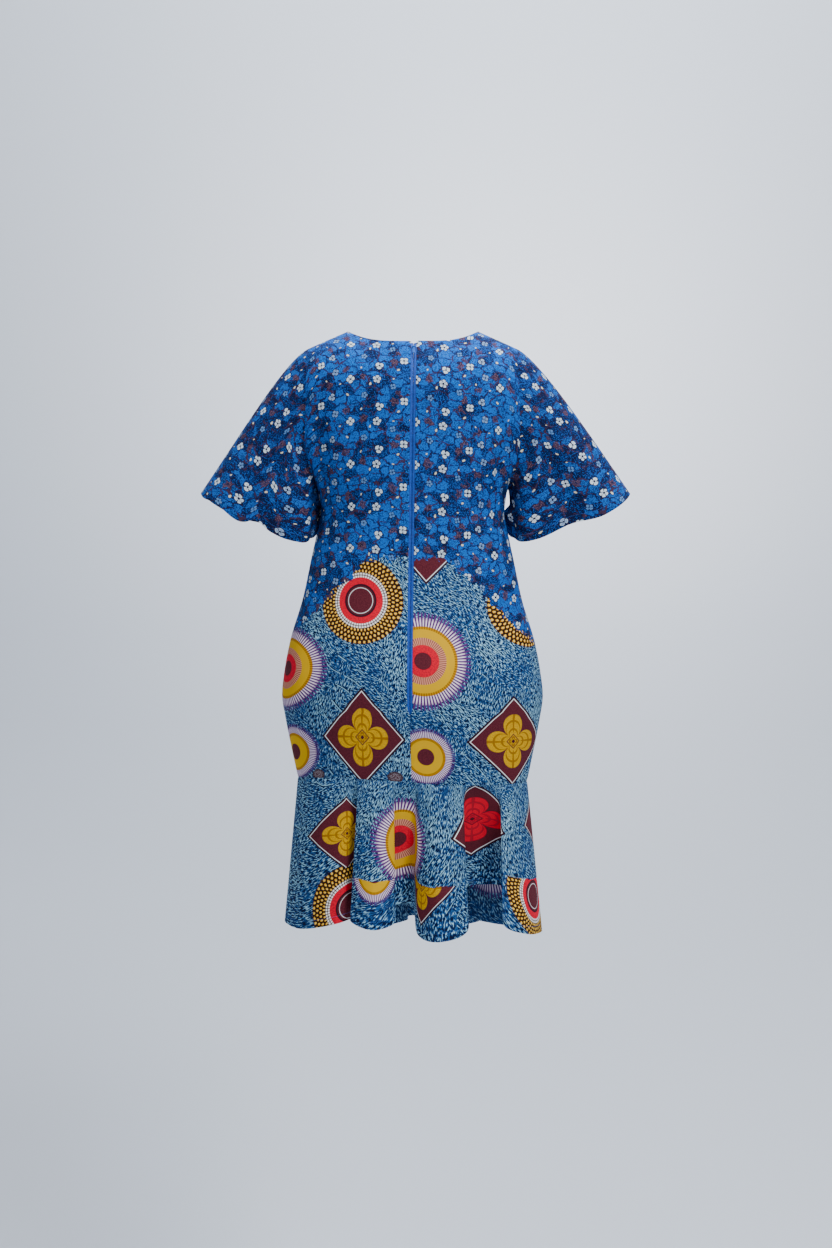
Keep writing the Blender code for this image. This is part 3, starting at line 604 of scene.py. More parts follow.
def ditsy_colour(sheet, place, depth):
    """Bright outlined leaves on a darker speckled blue, dark vines, dull brown clusters, small
    flowers with ringed petals, and cream dashes. Depth is painted shade: how much more navy there is."""
    hand = wavy_place(sheet, place, 0.012, 85.0)
    stretched = sheet.vector("MULTIPLY", hand, (1.0, LEAF_STRETCH, 1.0))
    cells = {"voronoi_dimensions": "2D"}
    cell_colour = sheet.node(
        "ShaderNodeTexVoronoi", cells, outputs=(1,), i0=stretched, scale=LEAVES_PER_METRE
    )
    cells = cells | {"feature": "DISTANCE_TO_EDGE"}
    to_edge = Value(sheet, sheet.node("ShaderNodeTexVoronoi", cells, i0=stretched, scale=LEAVES_PER_METRE))
    choice = sheet.parts(cell_colour)[0]
    grain = sheet.noise(place, 640.0, 1.0)
    coarse = sheet.noise(place, 300.0, 2.0)
    drift = sheet.noise(place, 38.0, 1.0)
    # Painted shade: depth leaves fewer bright leaves and more navy ground and specks
    leaf = choice.above(0.34 + depth * 0.2) * to_edge.above(0.075, 0.05)
    speckled = grain + (coarse - 0.5) * 0.55 + (drift - 0.5) * 0.4
    bright = sheet.mix(coarse.above(0.56, 0.14) * 0.85, FLORAL["bright"], FLORAL["leaf"])
    bright = sheet.mix(grain.below(0.38, 0.06) * 0.45, bright, FLORAL["pale"])
    ground = sheet.mix(speckled.above(0.47 - depth * 0.08, 0.07), FLORAL["blue"], FLORAL["navy"])
    ground = sheet.mix(speckled.below(0.375, 0.04) * 0.7, ground, FLORAL["bright"])
    specks = speckled.above(0.57 - depth * 0.06, 0.05) * 0.8
    bright = sheet.mix(specks, bright, FLORAL["navy"])
    colour = sheet.mix(leaf, ground, bright)
    # Painted shade: a navy wash over the whole print, as strong as depth
    colour = sheet.mix(depth * 0.16, colour, FLORAL["navy"])
    thick = sheet.noise(place, 70.0, 1.0) * 0.22 - 0.055
    vine = (to_edge - thick).below(0.0, 0.025) * coarse.above(0.4, 0.12)
    stem = sheet.mix(drift.above(0.5, 0.1), FLORAL["plum"], FLORAL["brown"])
    colour = sheet.mix(vine * 0.85, colour, stem)

    clusters, reach, (petals, _, _) = nearest_spot(sheet, hand, "cluster")
    ragged = reach + (angle_of(sheet, clusters) * petals).math("COSINE") * 0.18 + (coarse - 0.5) * 0.5
    rings = (reach * 9).math("SINE").above(0.15, 0.6)
    bloom = sheet.mix(rings, FLORAL["brown"], FLORAL["plum"])
    bloom = sheet.mix(grain.above(0.62, 0.04) * 0.7, bloom, FLORAL["dull pink"])
    colour = sheet.mix(ragged.below(0.8, 0.14) * 0.9, colour, bloom)

    near_hand = wavy_place(sheet, place, 0.002, 320.0)
    flower, reach, (petals, turned, faded) = nearest_spot(sheet, near_hand, "flower")
    turn = angle_of(sheet, flower) - turned
    lobes = ((turn * petals).math("COSINE") * 0.5 + 0.5) ** 0.5
    edge = lobes * 0.26 + 0.68
    petal = (reach / edge).below(0.97, 0.14)
    gap = lobes.below(0.36, 0.2) * reach.above(0.3, 0.1)
    dimple = reach.above(0.36, 0.1) * reach.below(0.66, 0.16) * lobes.above(0.75, 0.2)
    dull = ((dimple * 0.55) + faded + (grain - 0.5) * 0.6).math("ADD", 0.0, clamp=True)
    white = sheet.mix(dull, FLORAL["white"], sheet.mix(faded, FLORAL["petal grey"], FLORAL["faded"]))
    colour = sheet.mix((reach / edge).below(1.2, 0.1) * 0.85, colour, FLORAL["navy"])
    colour = sheet.mix(petal * (1 - gap) * (1 - faded * 0.3), colour, white)
    colour = sheet.mix(reach.below(0.26, 0.1), colour, FLORAL["navy"])
    dashes = nearest_spot(sheet, near_hand, "dash")[1]
    colour = sheet.mix(dashes.below(1.5, 0.3) * 0.6, colour, FLORAL["navy"])
    return sheet.mix(dashes.below(1.0, 0.3) * 0.9, colour, FLORAL["cream"])


DENIM = {"mid": tone("1e5692"), "deep": tone("183a70"), "pale": tone("92c6de"), "navy": tone("0a1434")}
GRAIN_STRETCH = (0.27, 1.25)
LINE_DIRECTION = (0.72, 0.69)
LINE_SPACING = 0.021
LINE_WIDTH = 0.055
RINGS = {
    "purple": tone("58286c"),
    "lilac": tone("f4e4f4"),
    "yellow": tone("d4a400"),
    "sun yellow": tone("ba8400"),
    "ochre": tone("8e5c0a"),
    "tan": tone("d69078"),
    "rust": tone("844838"),
    "red": tone("d8042c"),
    "deep red": tone("981c2c"),
    "maroon": tone("5d222d"),
    "deep maroon": tone("441622"),
    "dark": tone("2c1521"),
    "white": tone("f8f8fa"),
    "gold": tone("e09c14"),
    "pale gold": tone("f6d670"),
    "bead brown": tone("241414"),
    "dot brown": tone("6a4030"),
    "grey": tone("8c8890"),
}


def denim_colour(sheet, place, fineness, turns):
    """Mid blue covered in pale and navy flecks like grains of rice, and a few thin slanting lines."""
    hand = wavy_place(sheet, place, 0.002, 90.0)
    grains = [sheet.noise(hand, fineness, 1.0, stretch=GRAIN_STRETCH, turn=turn) for turn in turns]
    slanted = sheet.noise(place, 16.0, 1.0).above(0.5, 0.02)
    upright = sheet.noise(place, 11.0, 1.0).above(0.55, 0.02)
    fleck = grains[0] + slanted * (grains[1] - grains[0])
    fleck = fleck + upright * (grains[2] - fleck)
    faded = (sheet.noise(place, 14.0, 3.0) - 0.5) * 0.26
    colour = sheet.mix(sheet.noise(place, 170.0, 2.0).above(0.5, 0.25), DENIM["mid"], DENIM["deep"])
    colour = sheet.mix((fleck - faded * 0.3).below(0.47, 0.04), colour, DENIM["navy"])
    colour = sheet.mix((fleck + faded).above(0.605, 0.04), colour, DENIM["pale"])
    x, y, _ = sheet.parts(place)
    across = (x * LINE_DIRECTION[0] + y * LINE_DIRECTION[1]) / LINE_SPACING
    pair = (across + sheet.noise(place, 9.0, 1.0) * 2.4).math("FRACT")
    broken = sheet.noise(place, 26.0, 1.0, stretch=(1.0, 0.5), turn=45.0).above(0.6, 0.02)
    colour = sheet.mix(pair.below(LINE_WIDTH) * broken, colour, DENIM["navy"])
    return sheet.mix(pair.above(1 - LINE_WIDTH) * broken * 0.8, colour, DENIM["pale"])


# The motifs' parts, as shares of their own size, and how many of each stand round them
PRINTED_EDGE = 0.02
BAND_EDGE = 0.012
RAYS = 84
RAY_LENGTH = 0.11
FINE_STRIPES = 64
BEADS_FROM = 0.63
BEAD_ROW = 0.0925
BEADS_ROUND = 52
DOTS_ROUND = 58
FIRST_DIAMOND = MOTIF_KINDS.index("gold diamond")
LAST_DIAMOND = MOTIF_KINDS.index("plain diamond")


def bands(sheet, reach, rows):
    """Rings of colour: each row holds outside its own limit."""
    colour = rows[0][1]
    for limit, following in rows[1:]:
        colour = sheet.mix(reach.above(limit, BAND_EDGE), colour, following)
    return colour


def motif_colour(sheet, ground, local, kind, place):
    """Sunbursts, beaded rings and diamonds laid on the ground."""
    x, y, cut = sheet.parts(local)
    reach = (x * x + y * y) ** 0.5
    turn = y.math("ARCTAN2", x)
    shown = cut.above(-1.0) * (cut - y).above(0.0, PRINTED_EDGE)
    mottle = sheet.noise(place, 420.0, 2.0)
    fine = sheet.noise(place, 800.0, 1.0)

    def is_kind(name):
        number = MOTIF_KINDS.index(name)
        return kind.above(number - 0.5) * kind.below(number + 0.5)

    def stripes(count, share):
        return (turn * count).math("COSINE").above(share, 0.5)

    red = sheet.mix(mottle.above(0.54, 0.1) * 0.6, RINGS["red"], RINGS["deep red"])
    maroon = sheet.mix(mottle.above(0.5, 0.2) * 0.6, RINGS["maroon"], RINGS["deep maroon"])
    rays = sheet.mix(stripes(RAYS, 0.2), RINGS["purple"], RINGS["lilac"])
    outer_rays = sheet.mix(reach.above(0.92, 0.12), rays, RINGS["purple"])
    tan = sheet.mix(stripes(FINE_STRIPES, -0.1), RINGS["rust"], RINGS["tan"])
    sunny = sheet.mix(stripes(RAYS, -0.1), RINGS["ochre"], RINGS["sun yellow"])
    ragged = (reach + stripes(RAYS, 0.0) * RAY_LENGTH).below(1.04, PRINTED_EDGE)
    burst = bands(sheet, reach, (
        (0.0, maroon),
        (0.185, red),
        (0.345, tan),
        (0.50, RINGS["yellow"]),
        (0.68, sunny),
        (0.745, rays),
        (0.84, outer_rays),
    ))
    small = bands(sheet, reach, (
        (0.0, maroon),
        (0.30, RINGS["yellow"]),
        (0.60, sunny),
        (0.70, rays),
        (0.82, outer_rays),
    ))

    around = turn / (2 * math.pi)
    rows = (reach - BEADS_FROM) / BEAD_ROW
    row = rows.math("FLOOR")
    cell_y = rows.math("FRACT") - 0.5
    cell_x = (around * BEADS_ROUND + row * 0.5).math("FRACT") - 0.5
    bead = (cell_x * cell_x * 1.5 + cell_y * cell_y * 0.85) ** 0.5 + (mottle - 0.5) * 0.35
    gold = sheet.mix(bead.below(0.34, 0.1), RINGS["bead brown"], RINGS["gold"])
    gold = sheet.mix((bead + cell_y * 0.3).below(0.2, 0.12) * 0.8, gold, RINGS["pale gold"])
    dots = ((around * DOTS_ROUND).math("FRACT") - 0.5).math("ABSOLUTE").below(0.34, 0.16)
    dotted = sheet.mix(dots, RINGS["dot brown"], RINGS["white"])
    beaded = bands(sheet, reach, (
        (0.0, maroon),
        (0.286, RINGS["white"]),
        (0.298, maroon),
        (0.34, RINGS["dark"]),
        (0.38, red),
        (0.53, dotted),
        (0.57, RINGS["bead brown"]),
        (0.59, dotted),
        (BEADS_FROM, gold),
    ))
    beaded_edge = reach + (turn * BEADS_ROUND).math("COSINE") * 0.016

    square = x.math("ABSOLUTE") + y.math("ABSOLUTE")
    diamond = bands(sheet, square, ((0.0, maroon), (0.918, RINGS["white"]), (0.94, RINGS["dark"])))
    petal = (turn * 2).math("COSINE").math("ABSOLUTE") ** 0.5
    rosette = reach / (petal * 0.46 + 0.13)
    contour = ((rosette * 3.3).math("FRACT") - 0.5).math("ABSOLUTE").below(0.13, 0.06)
    spine = (turn * 4).math("SINE").math("ABSOLUTE").below(0.2, 0.1) * reach.above(0.2, 0.02)
    drawn = (contour + spine + fine.above(0.62, 0.05) * 0.5).math("ADD", 0.0, clamp=True)
    gold_leaf = sheet.mix(mottle.above(0.52, 0.1) * 0.5, RINGS["yellow"], RINGS["sun yellow"])
    gold_leaf = sheet.mix(drawn * 0.9, gold_leaf, RINGS["ochre"])
    red_leaf = sheet.mix(drawn * 0.9, RINGS["red"], RINGS["deep red"])
    figure = sheet.mix(is_kind("red diamond"), gold_leaf, red_leaf)
    heart = bands(sheet, square, (
        (0.0, RINGS["deep maroon"]), (0.05, figure), (0.14, maroon), (0.17, figure),
    ))
    figured = kind.below(LAST_DIAMOND - 0.5) * rosette.below(1.0, 0.04)
    diamond = sheet.mix(figured, diamond, heart)
    is_diamond = kind.above(FIRST_DIAMOND - 0.5) * kind.below(LAST_DIAMOND + 0.5)

    button = sheet.mix(fine.above(0.54, 0.06), RINGS["deep maroon"], RINGS["grey"])
    button = sheet.mix(reach.above(0.72, 0.15) * 0.7, button, RINGS["dark"])

    for printed, colour in (
        (is_kind("sunburst") * ragged, burst),
        (is_kind("small sun") * ragged, small),
        (is_kind("beads") * beaded_edge.below(0.995, PRINTED_EDGE), beaded),
        (is_diamond * square.below(1.0, 0.01), diamond),
        (is_kind("button") * reach.below(1.0, 0.06), button),
    ):
        ground = sheet.mix(shown * printed, ground, colour)
    return ground


THREAD_TURNS = 9000
BUMP_HEIGHT = 0.0004


def cloth_bump(sheet, place):
    """Threads, and the small uneven waves of a pressed cotton."""
    x, y, _ = sheet.parts(place)
    threads = (x * THREAD_TURNS).math("SINE") * (y * THREAD_TURNS).math("SINE")
    waves = sheet.noise(place, 26.0, 3.0)
    return threads * 0.04 + waves * 2.2


def wax_print(name, floral, denim, depth=0.0, fineness=600.0, turns=(20.0, 44.0, -74.0)):
    """Cotton with the ditsy print, the denim-look print, or both with the border between them.
    Depth is painted shade on the ditsy print, making it more navy.
    """
    sheet = Sheet(name, roughness=0.8, specular_ior_level=0.08)
    place = sheet.node("ShaderNodeUVMap", {"uv_map": "cloth"})
    kind, border, inside = sheet.parts(sheet.attribute("facts"))
    if denim:
        local = sheet.attribute("motif")
        colour = motif_colour(sheet, denim_colour(sheet, place, fineness, turns), local, kind, place)
    if floral:
        ditsy = ditsy_colour(sheet, place, depth)
        if denim:
            hand = (sheet.noise(place, 75.0, 2.0) - 0.5) * 34 + (sheet.noise(place, 240.0, 1.0) - 0.5) * 12
            colour = sheet.mix((border + hand).above(0.0, 0.8), colour, ditsy)
        else:
            colour = ditsy
    wrong_side = sheet.mix(0.28, colour, tone("264277"))
    colour = sheet.mix(inside, colour, wrong_side)
    return sheet.finish(colour, bump=cloth_bump(sheet, place), distance=BUMP_HEIGHT)


both_prints = wax_print("border_wax_print", floral=True, denim=True)
# The sleeves' ditsy print is a darker copy of the same print: its depth of 1 is painted shade
floral_print_painted_shade = wax_print("ditsy_wax_print", floral=True, denim=False, depth=1.0)
denim_print = wax_print(
    "denim_look_wax_print", floral=False, denim=True, fineness=540.0, turns=(82.0, 58.0, -72.0)
)

# Where the flowers end on each panel: how far above the knee seam, across the flat cloth
BorderPlace = namedtuple("BorderPlace", "u up")
BACK_BORDER = (
    BorderPlace(-300, 232), BorderPlace(-254, 240), BorderPlace(-207, 254), BorderPlace(-168, 274),
    BorderPlace(-146, 294), BorderPlace(-120, 317), BorderPlace(-100, 330), BorderPlace(-83, 352),
    BorderPlace(-64, 360), BorderPlace(0, 364), BorderPlace(46, 366), BorderPlace(66, 363),
    BorderPlace(97, 337), BorderPlace(129, 309), BorderPlace(163, 276), BorderPlace(196, 251),
    BorderPlace(275, 226), BorderPlace(300, 222),
)
BACK_MOTIFS = {
    "left": (
        Motif("beads", -82, 293, 70.5, 72),
        Motif("sunburst", -240, 182, 98, 68),
        Motif("small sun", -222, 43, 65, 45),
        Motif("gold diamond", -78, 70, 71, 82),
        Motif("button", -26, 7, 13, 9),
        Motif("button", -160, 6, 13, 9),
    ),
    "right": (
        Motif("sunburst", 21, 200, 76, 76),
        Motif("small sun", 24, 44, 46, 46),
        Motif("gold diamond", 177, 72, 86, 76),
        Motif("plain diamond", 24.5, 405, 74, 80),
        Motif("beads", 222, 297, 95, 72),
    ),
}
BACK_CREASES = {
    "left": (
        Crease(-166, 560, -150, 450, 8, 4.2),
        Crease(-196, 440, -120, 395, 9, 1.3),
        Crease(-205, 400, -110, 372, 10, 1.2),
        Crease(-60, 560, -48, 470, 16, -1.0),
        Crease(-110, 340, -60, 300, 16, 0.9),
        Crease(-150, 300, -140, 60, 26, 1.6),
        Crease(-50, 270, -55, 40, 24, -1.2),
        Crease(-230, 220, -205, 30, 20, 1.4),
    ),
    "right": (
        Crease(164, 562, 150, 450, 8, 4.2),
        Crease(196, 446, 126, 400, 9, 1.3),
        Crease(206, 404, 116, 380, 10, 1.3),
        Crease(58, 556, 44, 480, 15, -0.9),
        Crease(118, 330, 70, 296, 16, 0.8),
        Crease(140, 290, 132, 50, 26, 1.5),
        Crease(58, 250, 66, 30, 22, -1.1),
        Crease(226, 216, 208, 26, 20, 1.3),
    ),
}
EDGE_ROLL = 1.0
EDGE_ROLL_WIDTH = 1.6
ZIP_EDGE_WIDTH = 1.3
ZIP_PUCKER = 0.5
ZIP_PUCKER_LENGTH = 34.0
ZIP_PUCKER_REACH = 16.0
ZIP_PUCKER_START = 9.0
COLUMN_EASE = 1.1
NECK_PRINT_DRAWN = (0.6, 1.4)
# Each piece's cut size is in metres; its print is shifted by millimetres
PRINT_SHIFT = {"left": 0.0, "right": 33.0, "front": 20.0}


def edge_roll(distance, width=EDGE_ROLL_WIDTH):
    """How far cloth turns in near an edge that is this far away."""
    return EDGE_ROLL * np.exp(-(distance / width) ** 2)


def panel_places(points, downs, middle):
    """Places on the flat cloth: from the centre line, and up from the bottom edge."""
    rows = arcs(points, 1)
    u = rows - rows[:, middle : middle + 1]
    chest = int(np.argmin(np.abs(downs - DOWN_CHEST)))
    reach = points[..., 0]
    chest_reach = np.where(np.abs(reach[chest]) > 1, reach[chest], 1.0)
    for row in range(chest):
        share = np.where(np.abs(reach[chest]) > 1, reach[row] / chest_reach, 1.0)
        u[row] = u[chest] * np.clip(share, *NECK_PRINT_DRAWN)
    run = arcs(points, 0)
    return u, run[-1:] - run


def border_of(u, v, table):
    """How far each place is above the line where the flowers end."""
    return v - np.interp(u, column(table, "u"), column(table, "up"))


downs = np.linspace(0, 1, PANEL_ROWS + 1)
for hand, side in (("left", -1), ("right", 1)):
    steps = np.linspace(0, 1, HALF_COLUMNS + 1)
    down = np.repeat(downs[:, None], HALF_COLUMNS + 1, 1)
    edge = zip_edge_share(down)
    across = side * (edge + (1 - edge) * steps[None, :] ** COLUMN_EASE)
    plain = body_point("back", across, down)
    normal = body_normal("back", across, down)
    u, v = panel_places(plain, downs, 0)
    u = side * (np.abs(u) + zip_half_opening(-plain[..., 2]))
    from_edge = np.abs(u) - zip_half_opening(-plain[:, :1, 2])
    dip = crease_depth(u, v, BACK_CREASES[hand])
    dip += edge_roll(from_edge, ZIP_EDGE_WIDTH)
    wave = np.sin(2 * math.pi * (v + ZIP_PUCKER_START * side) / ZIP_PUCKER_LENGTH)
    dip += ZIP_PUCKER * np.exp(-from_edge / ZIP_PUCKER_REACH) * wave
    dip += edge_roll(v)
    outer = plain - normal * dip[..., None]
    piece = shell(
        "back_" + hand + "_cloth", outer, -normal * CLOTH, u, v, both_prints,
        flat=(u + PRINT_SHIFT[hand], v), motifs=BACK_MOTIFS[hand], border=border_of(u, v, BACK_BORDER),
    )
    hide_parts("back_" + hand)
    cloth_area(plain)


# Front of the dress: one panel on the fold with a lower round neck, in the same border print.
# It isn't seen in the photograph, so it is plain, with its own share of the circles and diamonds.

FRONT_BORDER = (
    BorderPlace(-300, 226), BorderPlace(-240, 238), BorderPlace(-180, 262), BorderPlace(-120, 308),
    BorderPlace(-70, 350), BorderPlace(0, 366), BorderPlace(70, 354), BorderPlace(120, 312),
    BorderPlace(180, 266), BorderPlace(240, 240), BorderPlace(300, 228),
)
FRONT_MOTIFS = (
    Motif("beads", 0, 280, 71, 71),
    Motif("sunburst", -135, 196, 74, 74),
    Motif("sunburst", 135, 196, 74, 74),
    Motif("gold diamond", 0, 96, 72, 80),
    Motif("small sun", -118, 44, 45, 45),
    Motif("small sun", 118, 44, 45, 45),
    Motif("gold diamond", -206, 78, 60, 76),
    Motif("gold diamond", 206, 78, 60, 76),
    Motif("button", -60, 7, 13, 9),
    Motif("button", 60, 7, 13, 9),
)
FRONT_CREASES = (
    Crease(-165, 520, -146, 430, 8, 2.0),
    Crease(166, 524, 148, 436, 8, 2.0),
    Crease(-200, 410, -110, 372, 10, 1.4),
    Crease(198, 414, 112, 378, 10, 1.3),
    Crease(-60, 520, -52, 420, 18, -1.0),
    Crease(62, 516, 50, 424, 18, -1.0),
    Crease(-90, 300, -96, 50, 26, 1.5),
    Crease(20, 250, 12, 40, 26, 1.4),
    Crease(120, 280, 128, 60, 24, 1.5),
)

down = np.repeat(downs[:, None], 2 * HALF_COLUMNS + 1, 1)
across = np.repeat(np.linspace(-1, 1, 2 * HALF_COLUMNS + 1)[None, :], len(downs), 0)
across[:, HALF_COLUMNS] = ON_CENTRE
plain = body_point("front", across, down)
normal = body_normal("front", across, down)
u, v = panel_places(plain, downs, HALF_COLUMNS)
dip = crease_depth(u, v, FRONT_CREASES) + edge_roll(v)
front = shell(
    "front_cloth", plain - normal * dip[..., None], -normal * CLOTH, u, v, both_prints,
    flat=(PRINT_SHIFT["front"] - u, v), motifs=FRONT_MOTIFS, border=border_of(u, v, FRONT_BORDER),
)
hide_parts("front")
cloth_area(plain)


sewn_lines = []


def sewn_line(outer, normal, v, height):
    """Line on the cloth at one height above its hem, and the outward directions along it."""
    share = np.array([np.interp(height, v[::-1, k], np.arange(len(v))[::-1]) for k in range(v.shape[1])])
    low = np.floor(share).astype(int)
    part = (share - low)[:, None]
    columns = np.arange(v.shape[1])
    places = outer[low, columns] * (1 - part) + outer[np.minimum(low + 1, len(v) - 1), columns] * part
    return places, normal[low, columns]


# Sleeves: short and flared, set into the armholes, ditsy print all over, with a narrow hem. The
# cuff flutes in soft lobes; the photo's left sleeve creases near its top and dips at its hem.

CUFF_OUTER = {"left": (349.0, -266.0), "right": (359.0, -267.0)}
CUFF_INNER = (161.0, -333.0)
CUFF_HALF_DEPTH = 64.0
CUFF_BOW = {"back": 25.0, "front": 17.0}
CUFF_BOW_POWER = 1.3
CUFF_BOW_LEAN = 0.5
CAP_LENGTH = {"top": 42.0, "side": 16.0, "under": 12.0}
CUFF_RUN = {"top": 120.0, "side": 75.0, "under": 70.0}
CUFF_TOP_DIRECTION = (0.563, -0.826)
BODY_SIDE_LOBE = {"left": 18.0, "right": 7.0}
BODY_SIDE_LOBE_AROUND = 0.385
BODY_SIDE_LOBE_HALF_WIDTH = 0.03
Flute = namedtuple("Flute", "around half_width height lift")
FLUTES = (
    Flute(0.13, 0.060, 6.0, 0.0),
    Flute(0.26, 0.045, -10.0, 8.0),
    Flute(0.36, 0.050, 8.0, 0.0),
    Flute(0.60, 0.050, 8.0, 0.0),
    Flute(0.71, 0.050, -10.0, 6.0),
    Flute(0.86, 0.060, 7.0, 0.0),
)
# The sleeve hangs against the body from this share of its length down; its hem rises and falls
BESIDE_BODY = -1.5
UNDERARM_SHARE = 0.11
TOUCHING = {"left": 0.02, "right": 0.70}
TOUCHING_EASE = 0.12
HEM_LIFT_POWER = 5
Lift = namedtuple("Lift", "around half_width height")
HEM_LIFTS = {
    "left": (
        Lift(0.148, 0.040, 9), Lift(0.212, 0.025, -4), Lift(0.268, 0.018, 6), Lift(0.345, 0.050, -5),
        Lift(0.412, 0.020, 5), Lift(0.5, 0.045, 9),
    ),
    "right": (Lift(0.37, 0.05, -4), Lift(0.5, 0.05, 8)),
}
SLEEVE_PRINT_SHIFT = 11.0
SLEEVE_COLUMNS = 160
SLEEVE_ROWS = 70
SLEEVE_ROW_EASE = 1.3
CAP_ROWS = 3
HEM_ROLL = 0.7
HEM_ROLL_EASE = 3.0
HEM_TURNED = 14.0
HEM_SEWN = 12.0
SLEEVE_CREASES = {
    "left": (
        Crease(120, 205, 106, 160, 6, 1.8),
        Crease(146, 196, 168, 100, 10, 4.0),
        Crease(60, 150, 78, 60, 14, 3.0),
        Crease(134, 130, 128, 10, 14, 4.0),
        Crease(160, 120, 156, 10, 10, -2.2),
        Crease(-70, 150, -84, 50, 14, 2.0),
        Crease(-140, 120, -132, 30, 12, 2.0),
    ),
    "right": (
        Crease(66, 196, 92, 120, 6, 2.2),
        Crease(146, 196, 168, 100, 10, 4.0),
        Crease(50, 120, 62, 40, 14, 2.6),
        Crease(134, 130, 128, 10, 14, 3.6),
        Crease(160, 120, 156, 10, 10, -2.0),
        Crease(-70, 150, -84, 50, 14, 2.0),
        Crease(-140, 120, -132, 30, 12, 2.0),
    ),
}


def hem_thickness(v):
    """Cloth's thickness up from its hem, with the turned part's edge fading in."""
    return CLOTH + HEM_ROLL * smooth_step((HEM_TURNED - v) / HEM_ROLL_EASE)


def armhole(side, around):
    """Edge points of the armhole and the directions that the sleeve leaves in; around is 0 at the
    shoulder, 0.5 under the arm."""
    turned = np.mod(around, 1.0)
    down = np.where(turned <= 0.5, turned, 1 - turned) * 2 * DOWN_UNDERARM
    edge = np.full_like(down, float(side))
    points = np.where(
        (turned <= 0.5)[:, None], body_point("back", edge, down), body_point("front", edge, down)
    )
    wall = np.where(
        (turned <= 0.5)[:, None], body_normal("back", edge, down), body_normal("front", edge, down)
    )
    along = np.roll(points[:-1], -1, 0) - np.roll(points[:-1], 1, 0)
    along = np.concatenate([along, along[:1]])
    return points, -unit(np.cross(along, wall)) * side


def between(sizes, around):
    """Size at the top, at the sides and under the arm, eased round the ring."""
    up = np.cos(2 * math.pi * around)
    low = sizes["side"] + (sizes["under"] - sizes["side"]) * up * up
    return np.where(up > 0, sizes["side"] + (sizes["top"] - sizes["side"]) * up * up, low)[:, None]


def flute_height(around, name):
    total = np.zeros_like(around)
    for flute in FLUTES:
        total += getattr(flute, name) * hump(around - flute.around, 2 * flute.half_width)
    return total


def cuff(around, side):
    """Points of the sleeve's hem: a flat oval that bows out at the back and front, with flutes."""
    angle = 2 * math.pi * around
    hand = "left" if side < 0 else "right"
    outer = np.array(CUFF_OUTER[hand])
    inner = np.array(CUFF_INNER)
    half = (outer - inner) / 2
    middle = (outer + inner) / 2
    cos, sin = np.cos(angle), np.sin(angle)
    bow = np.where(sin > 0, CUFF_BOW["back"], CUFF_BOW["front"])
    bow = bow * np.abs(sin) ** (CUFF_BOW_POWER + CUFF_BOW_LEAN * cos)
    along = unit(half)
    lobe = hump(around - BODY_SIDE_LOBE_AROUND, 2 * BODY_SIDE_LOBE_HALF_WIDTH)
    height = flute_height(around, "height") + BODY_SIDE_LOBE[hand] * lobe
    x = middle[0] + half[0] * cos + along[0] * cos * height + along[1] * bow
    z = middle[1] + half[1] * cos + along[1] * cos * height - along[0] * bow
    z = z + flute_height(around, "lift")
    y = -CUFF_HALF_DEPTH * sin - sin * height
    return np.stack([x * side, y, z], axis=-1)


for hand, side in (("left", -1), ("right", 1)):
    around = np.linspace(0.5, 1.5, SLEEVE_COLUMNS + 1)
    start, leave = armhole(side, around)
    turned = np.mod(around, 1.0)
    end = cuff(turned, side)
    tilt = 0.5 + 0.5 * np.cos(2 * math.pi * around)
    run = np.stack(
        [CUFF_TOP_DIRECTION[0] * tilt * side, 0 * tilt, CUFF_TOP_DIRECTION[1] * tilt - (1 - tilt)], axis=-1
    )
    first = start + leave * between(CAP_LENGTH, turned)
    last = end - unit(run) * between(CUFF_RUN, turned)
    t = (np.linspace(0, 1, SLEEVE_ROWS + 1) ** SLEEVE_ROW_EASE)[:, None, None]
    plain = (1 - t) ** 3 * start + 3 * t * (1 - t) ** 2 * first + 3 * t * t * (1 - t) * last + t ** 3 * end
    for lift in HEM_LIFTS[hand]:
        raised = lift.height * hump(turned - lift.around, 2 * lift.half_width)
        plain[..., 2] += raised * t[..., 0] ** HEM_LIFT_POWER
    beside = body_size("half_width", np.maximum(-plain[..., 2], UNDERARM_LEVEL)) + BESIDE_BODY
    at_body = hump(turned - 0.5, UNDERARM_SHARE) * smooth_step((t[..., 0] - TOUCHING[hand]) / TOUCHING_EASE)
    plain[..., 0] -= side * at_body * np.maximum(side * plain[..., 0] - beside, 0.0)
    middle_line = plain.mean(axis=1, keepdims=True)
    normal = grid_normals(plain, plain - middle_line)
    in_cap = np.arange(SLEEVE_ROWS + 1)[:, None, None] < CAP_ROWS
    normal = np.where(in_cap, normal[CAP_ROWS : CAP_ROWS + 1], normal)
    rows = arcs(plain, 1)
    half_ring = rows[SLEEVE_ROWS // 2, -1] / 2
    u = np.repeat(((around - 1.0) * 2 * half_ring)[None, :], SLEEVE_ROWS + 1, 0)
    length = arcs(plain, 0)
    v = length[-1:] - length
    signed = np.where(turned <= 0.5, 1.0, -1.0) * np.minimum(turned, 1 - turned) * 2 * half_ring
    dip = crease_depth(np.repeat(signed[None, :], SLEEVE_ROWS + 1, 0), v, SLEEVE_CREASES[hand])
    outer = plain - normal * dip[..., None]
    thick = hem_thickness(v)
    sewn_lines.append(sewn_line(outer, normal, v, HEM_SEWN))
    # The sleeves wear the darker copy of the ditsy print, with painted shade in its navy
    sleeve = shell(
        "sleeve_" + hand + "_cloth", outer, -normal * thick[..., None], u, v, floral_print_painted_shade,
        flat=(u + SLEEVE_PRINT_SHIFT * side, v),
    )
    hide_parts("sleeve_" + hand)
    cloth_area(plain)


# Flounce: a deep flared frill below the knee seam, back and front sewn at the sides. It hangs in
# tubes and pockets, and its folds hide parts of its circles and diamonds. Narrow turned hem.

